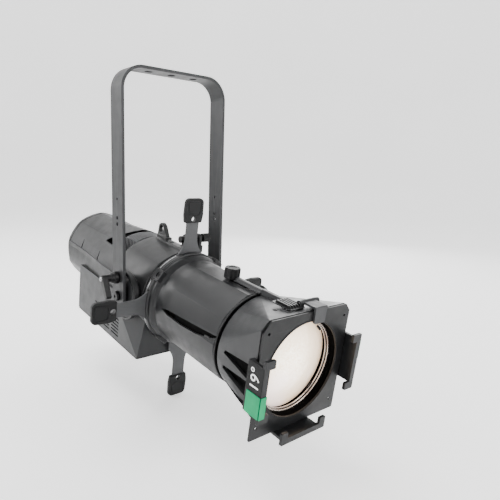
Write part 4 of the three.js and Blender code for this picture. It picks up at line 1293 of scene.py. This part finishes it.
def make_latch():
    low, high, hinge = LATCH_LO, LATCH_HI, LATCH_PIN
    front = low.y
    over = slab(
        "x", [(front, 82.7, 0), (hinge.y, 82.7, 0), (hinge.y, 85.7, 1), (front, 85.7, 1.8)], low.x, high.x,
        0, 4)
    lip = slab(
        "y", [(low.x, 84.5, 0), (high.x, 84.5, 0), (high.x - 1, low.z, 2.5), (low.x + 1, low.z, 2.5)],
        front, front + 3, 0, 5)
    knuckle = rod("x", 3.6, low.x, high.x, hinge.y, hinge.z, 0.4)
    latch = cut(
        union(over, lip, knuckle), rod("x", 1.9, low.x - 5, high.x + 5, hinge.y, hinge.z, segments=20))
    piece(
        "latch_flap", softened(latch, 0.6, 2, 40), "frame_latch", STRAP_PAINT, ["frame_latch"],
        slot="housing_paint")


def make_tags():
    """A plain green sheet on each side channel, and the generic number of the beam angle."""
    for name in ("left", "right"):
        low, high = box_in(HEAD, f"beam_angle_tag_{name}")
        outline = rect(low.y, high.y, low.z, high.z, 0.8, 3)
        tag = prism("x", outline, low.x, high.x)
        piece(
            f"green_tag_{name}", softened(tag, 0.25, 2, 40), "lens_tube", GREEN, [f"beam_angle_tag_{name}"])
    face = -CHANNEL_HI.x - GAP
    wrap = cuboid(
        "y", face + 0.2, -CHANNEL_HI.x + 9, -33, -4, CHANNEL_LO.y - 0.9, CHANNEL_LO.y - 0.1, 0.4, 2)
    piece("green_wrap_left", wrap, "lens_tube", GREEN)
    sheet = cuboid(
        "x", CHANNEL_LO.y + 0.8, CHANNEL_HI.y - 0.8, -3.8, 32, face + 0.02, -CHANNEL_HI.x - 0.02, 0.8, 3)
    piece("number_sheet", sheet, "lens_tube", SHEET_BLACK)
    text = bpy.data.curves.new("angle_number", "FONT")
    text.body = "19°"
    text.size = 21
    text.extrude = 0.15
    text.align_x = "LEFT"
    thing = bpy.data.objects.new("angle_number", text)
    bpy.context.scene.collection.objects.link(thing)
    graph = bpy.context.evaluated_depsgraph_get()
    mesh = bpy.data.meshes.new_from_object(thing.evaluated_get(graph))
    bpy.data.objects.remove(thing)
    # Reads upward: the writing runs along +Z, and its top points to the rear.
    mesh.transform(
        Matrix(((0, 0, -1, face - 0.1), (0, 1, 0, CHANNEL_LO.y + 6.5), (1, 0, 0, -1), (0, 0, 0, 1))))
    piece("beam_angle_number", mesh, "lens_tube", WHITE_INK)


# ---- CAD nodes that keep their shape ------------------------------------------------------------
KEPT = {
    "tilt_lock_stud": STEEL, "fan_frame": BLACK_PLASTIC, "fan_rotor": BLACK_PLASTIC, "led_board": CIRCUIT,
    "collimator": CLEAR, "gate_plate": DARK_PAINT, "driver_board": CIRCUIT, "rear_lens": CLEAR,
    "latch_pin": STEEL,
}


def finish_kept_nodes():
    for node, material in KEPT.items():
        thing = frame["nodes"][node]
        thing.data.materials.clear()
        thing.data.materials.append(material)


STEPS = (
    make_yoke, make_tilt_lever, make_trunnions, make_housing, make_heat_sink, make_bottom_cover,
    make_rear_cap, make_safety_loop, make_rotation_lock, make_shutters, make_shutter_housing,
    make_barrel, make_lens_tube, make_focus_parts, make_lenses, make_channels, make_plate, make_latch,
    make_tags, finish_kept_nodes,
)
for step in STEPS:
    step()
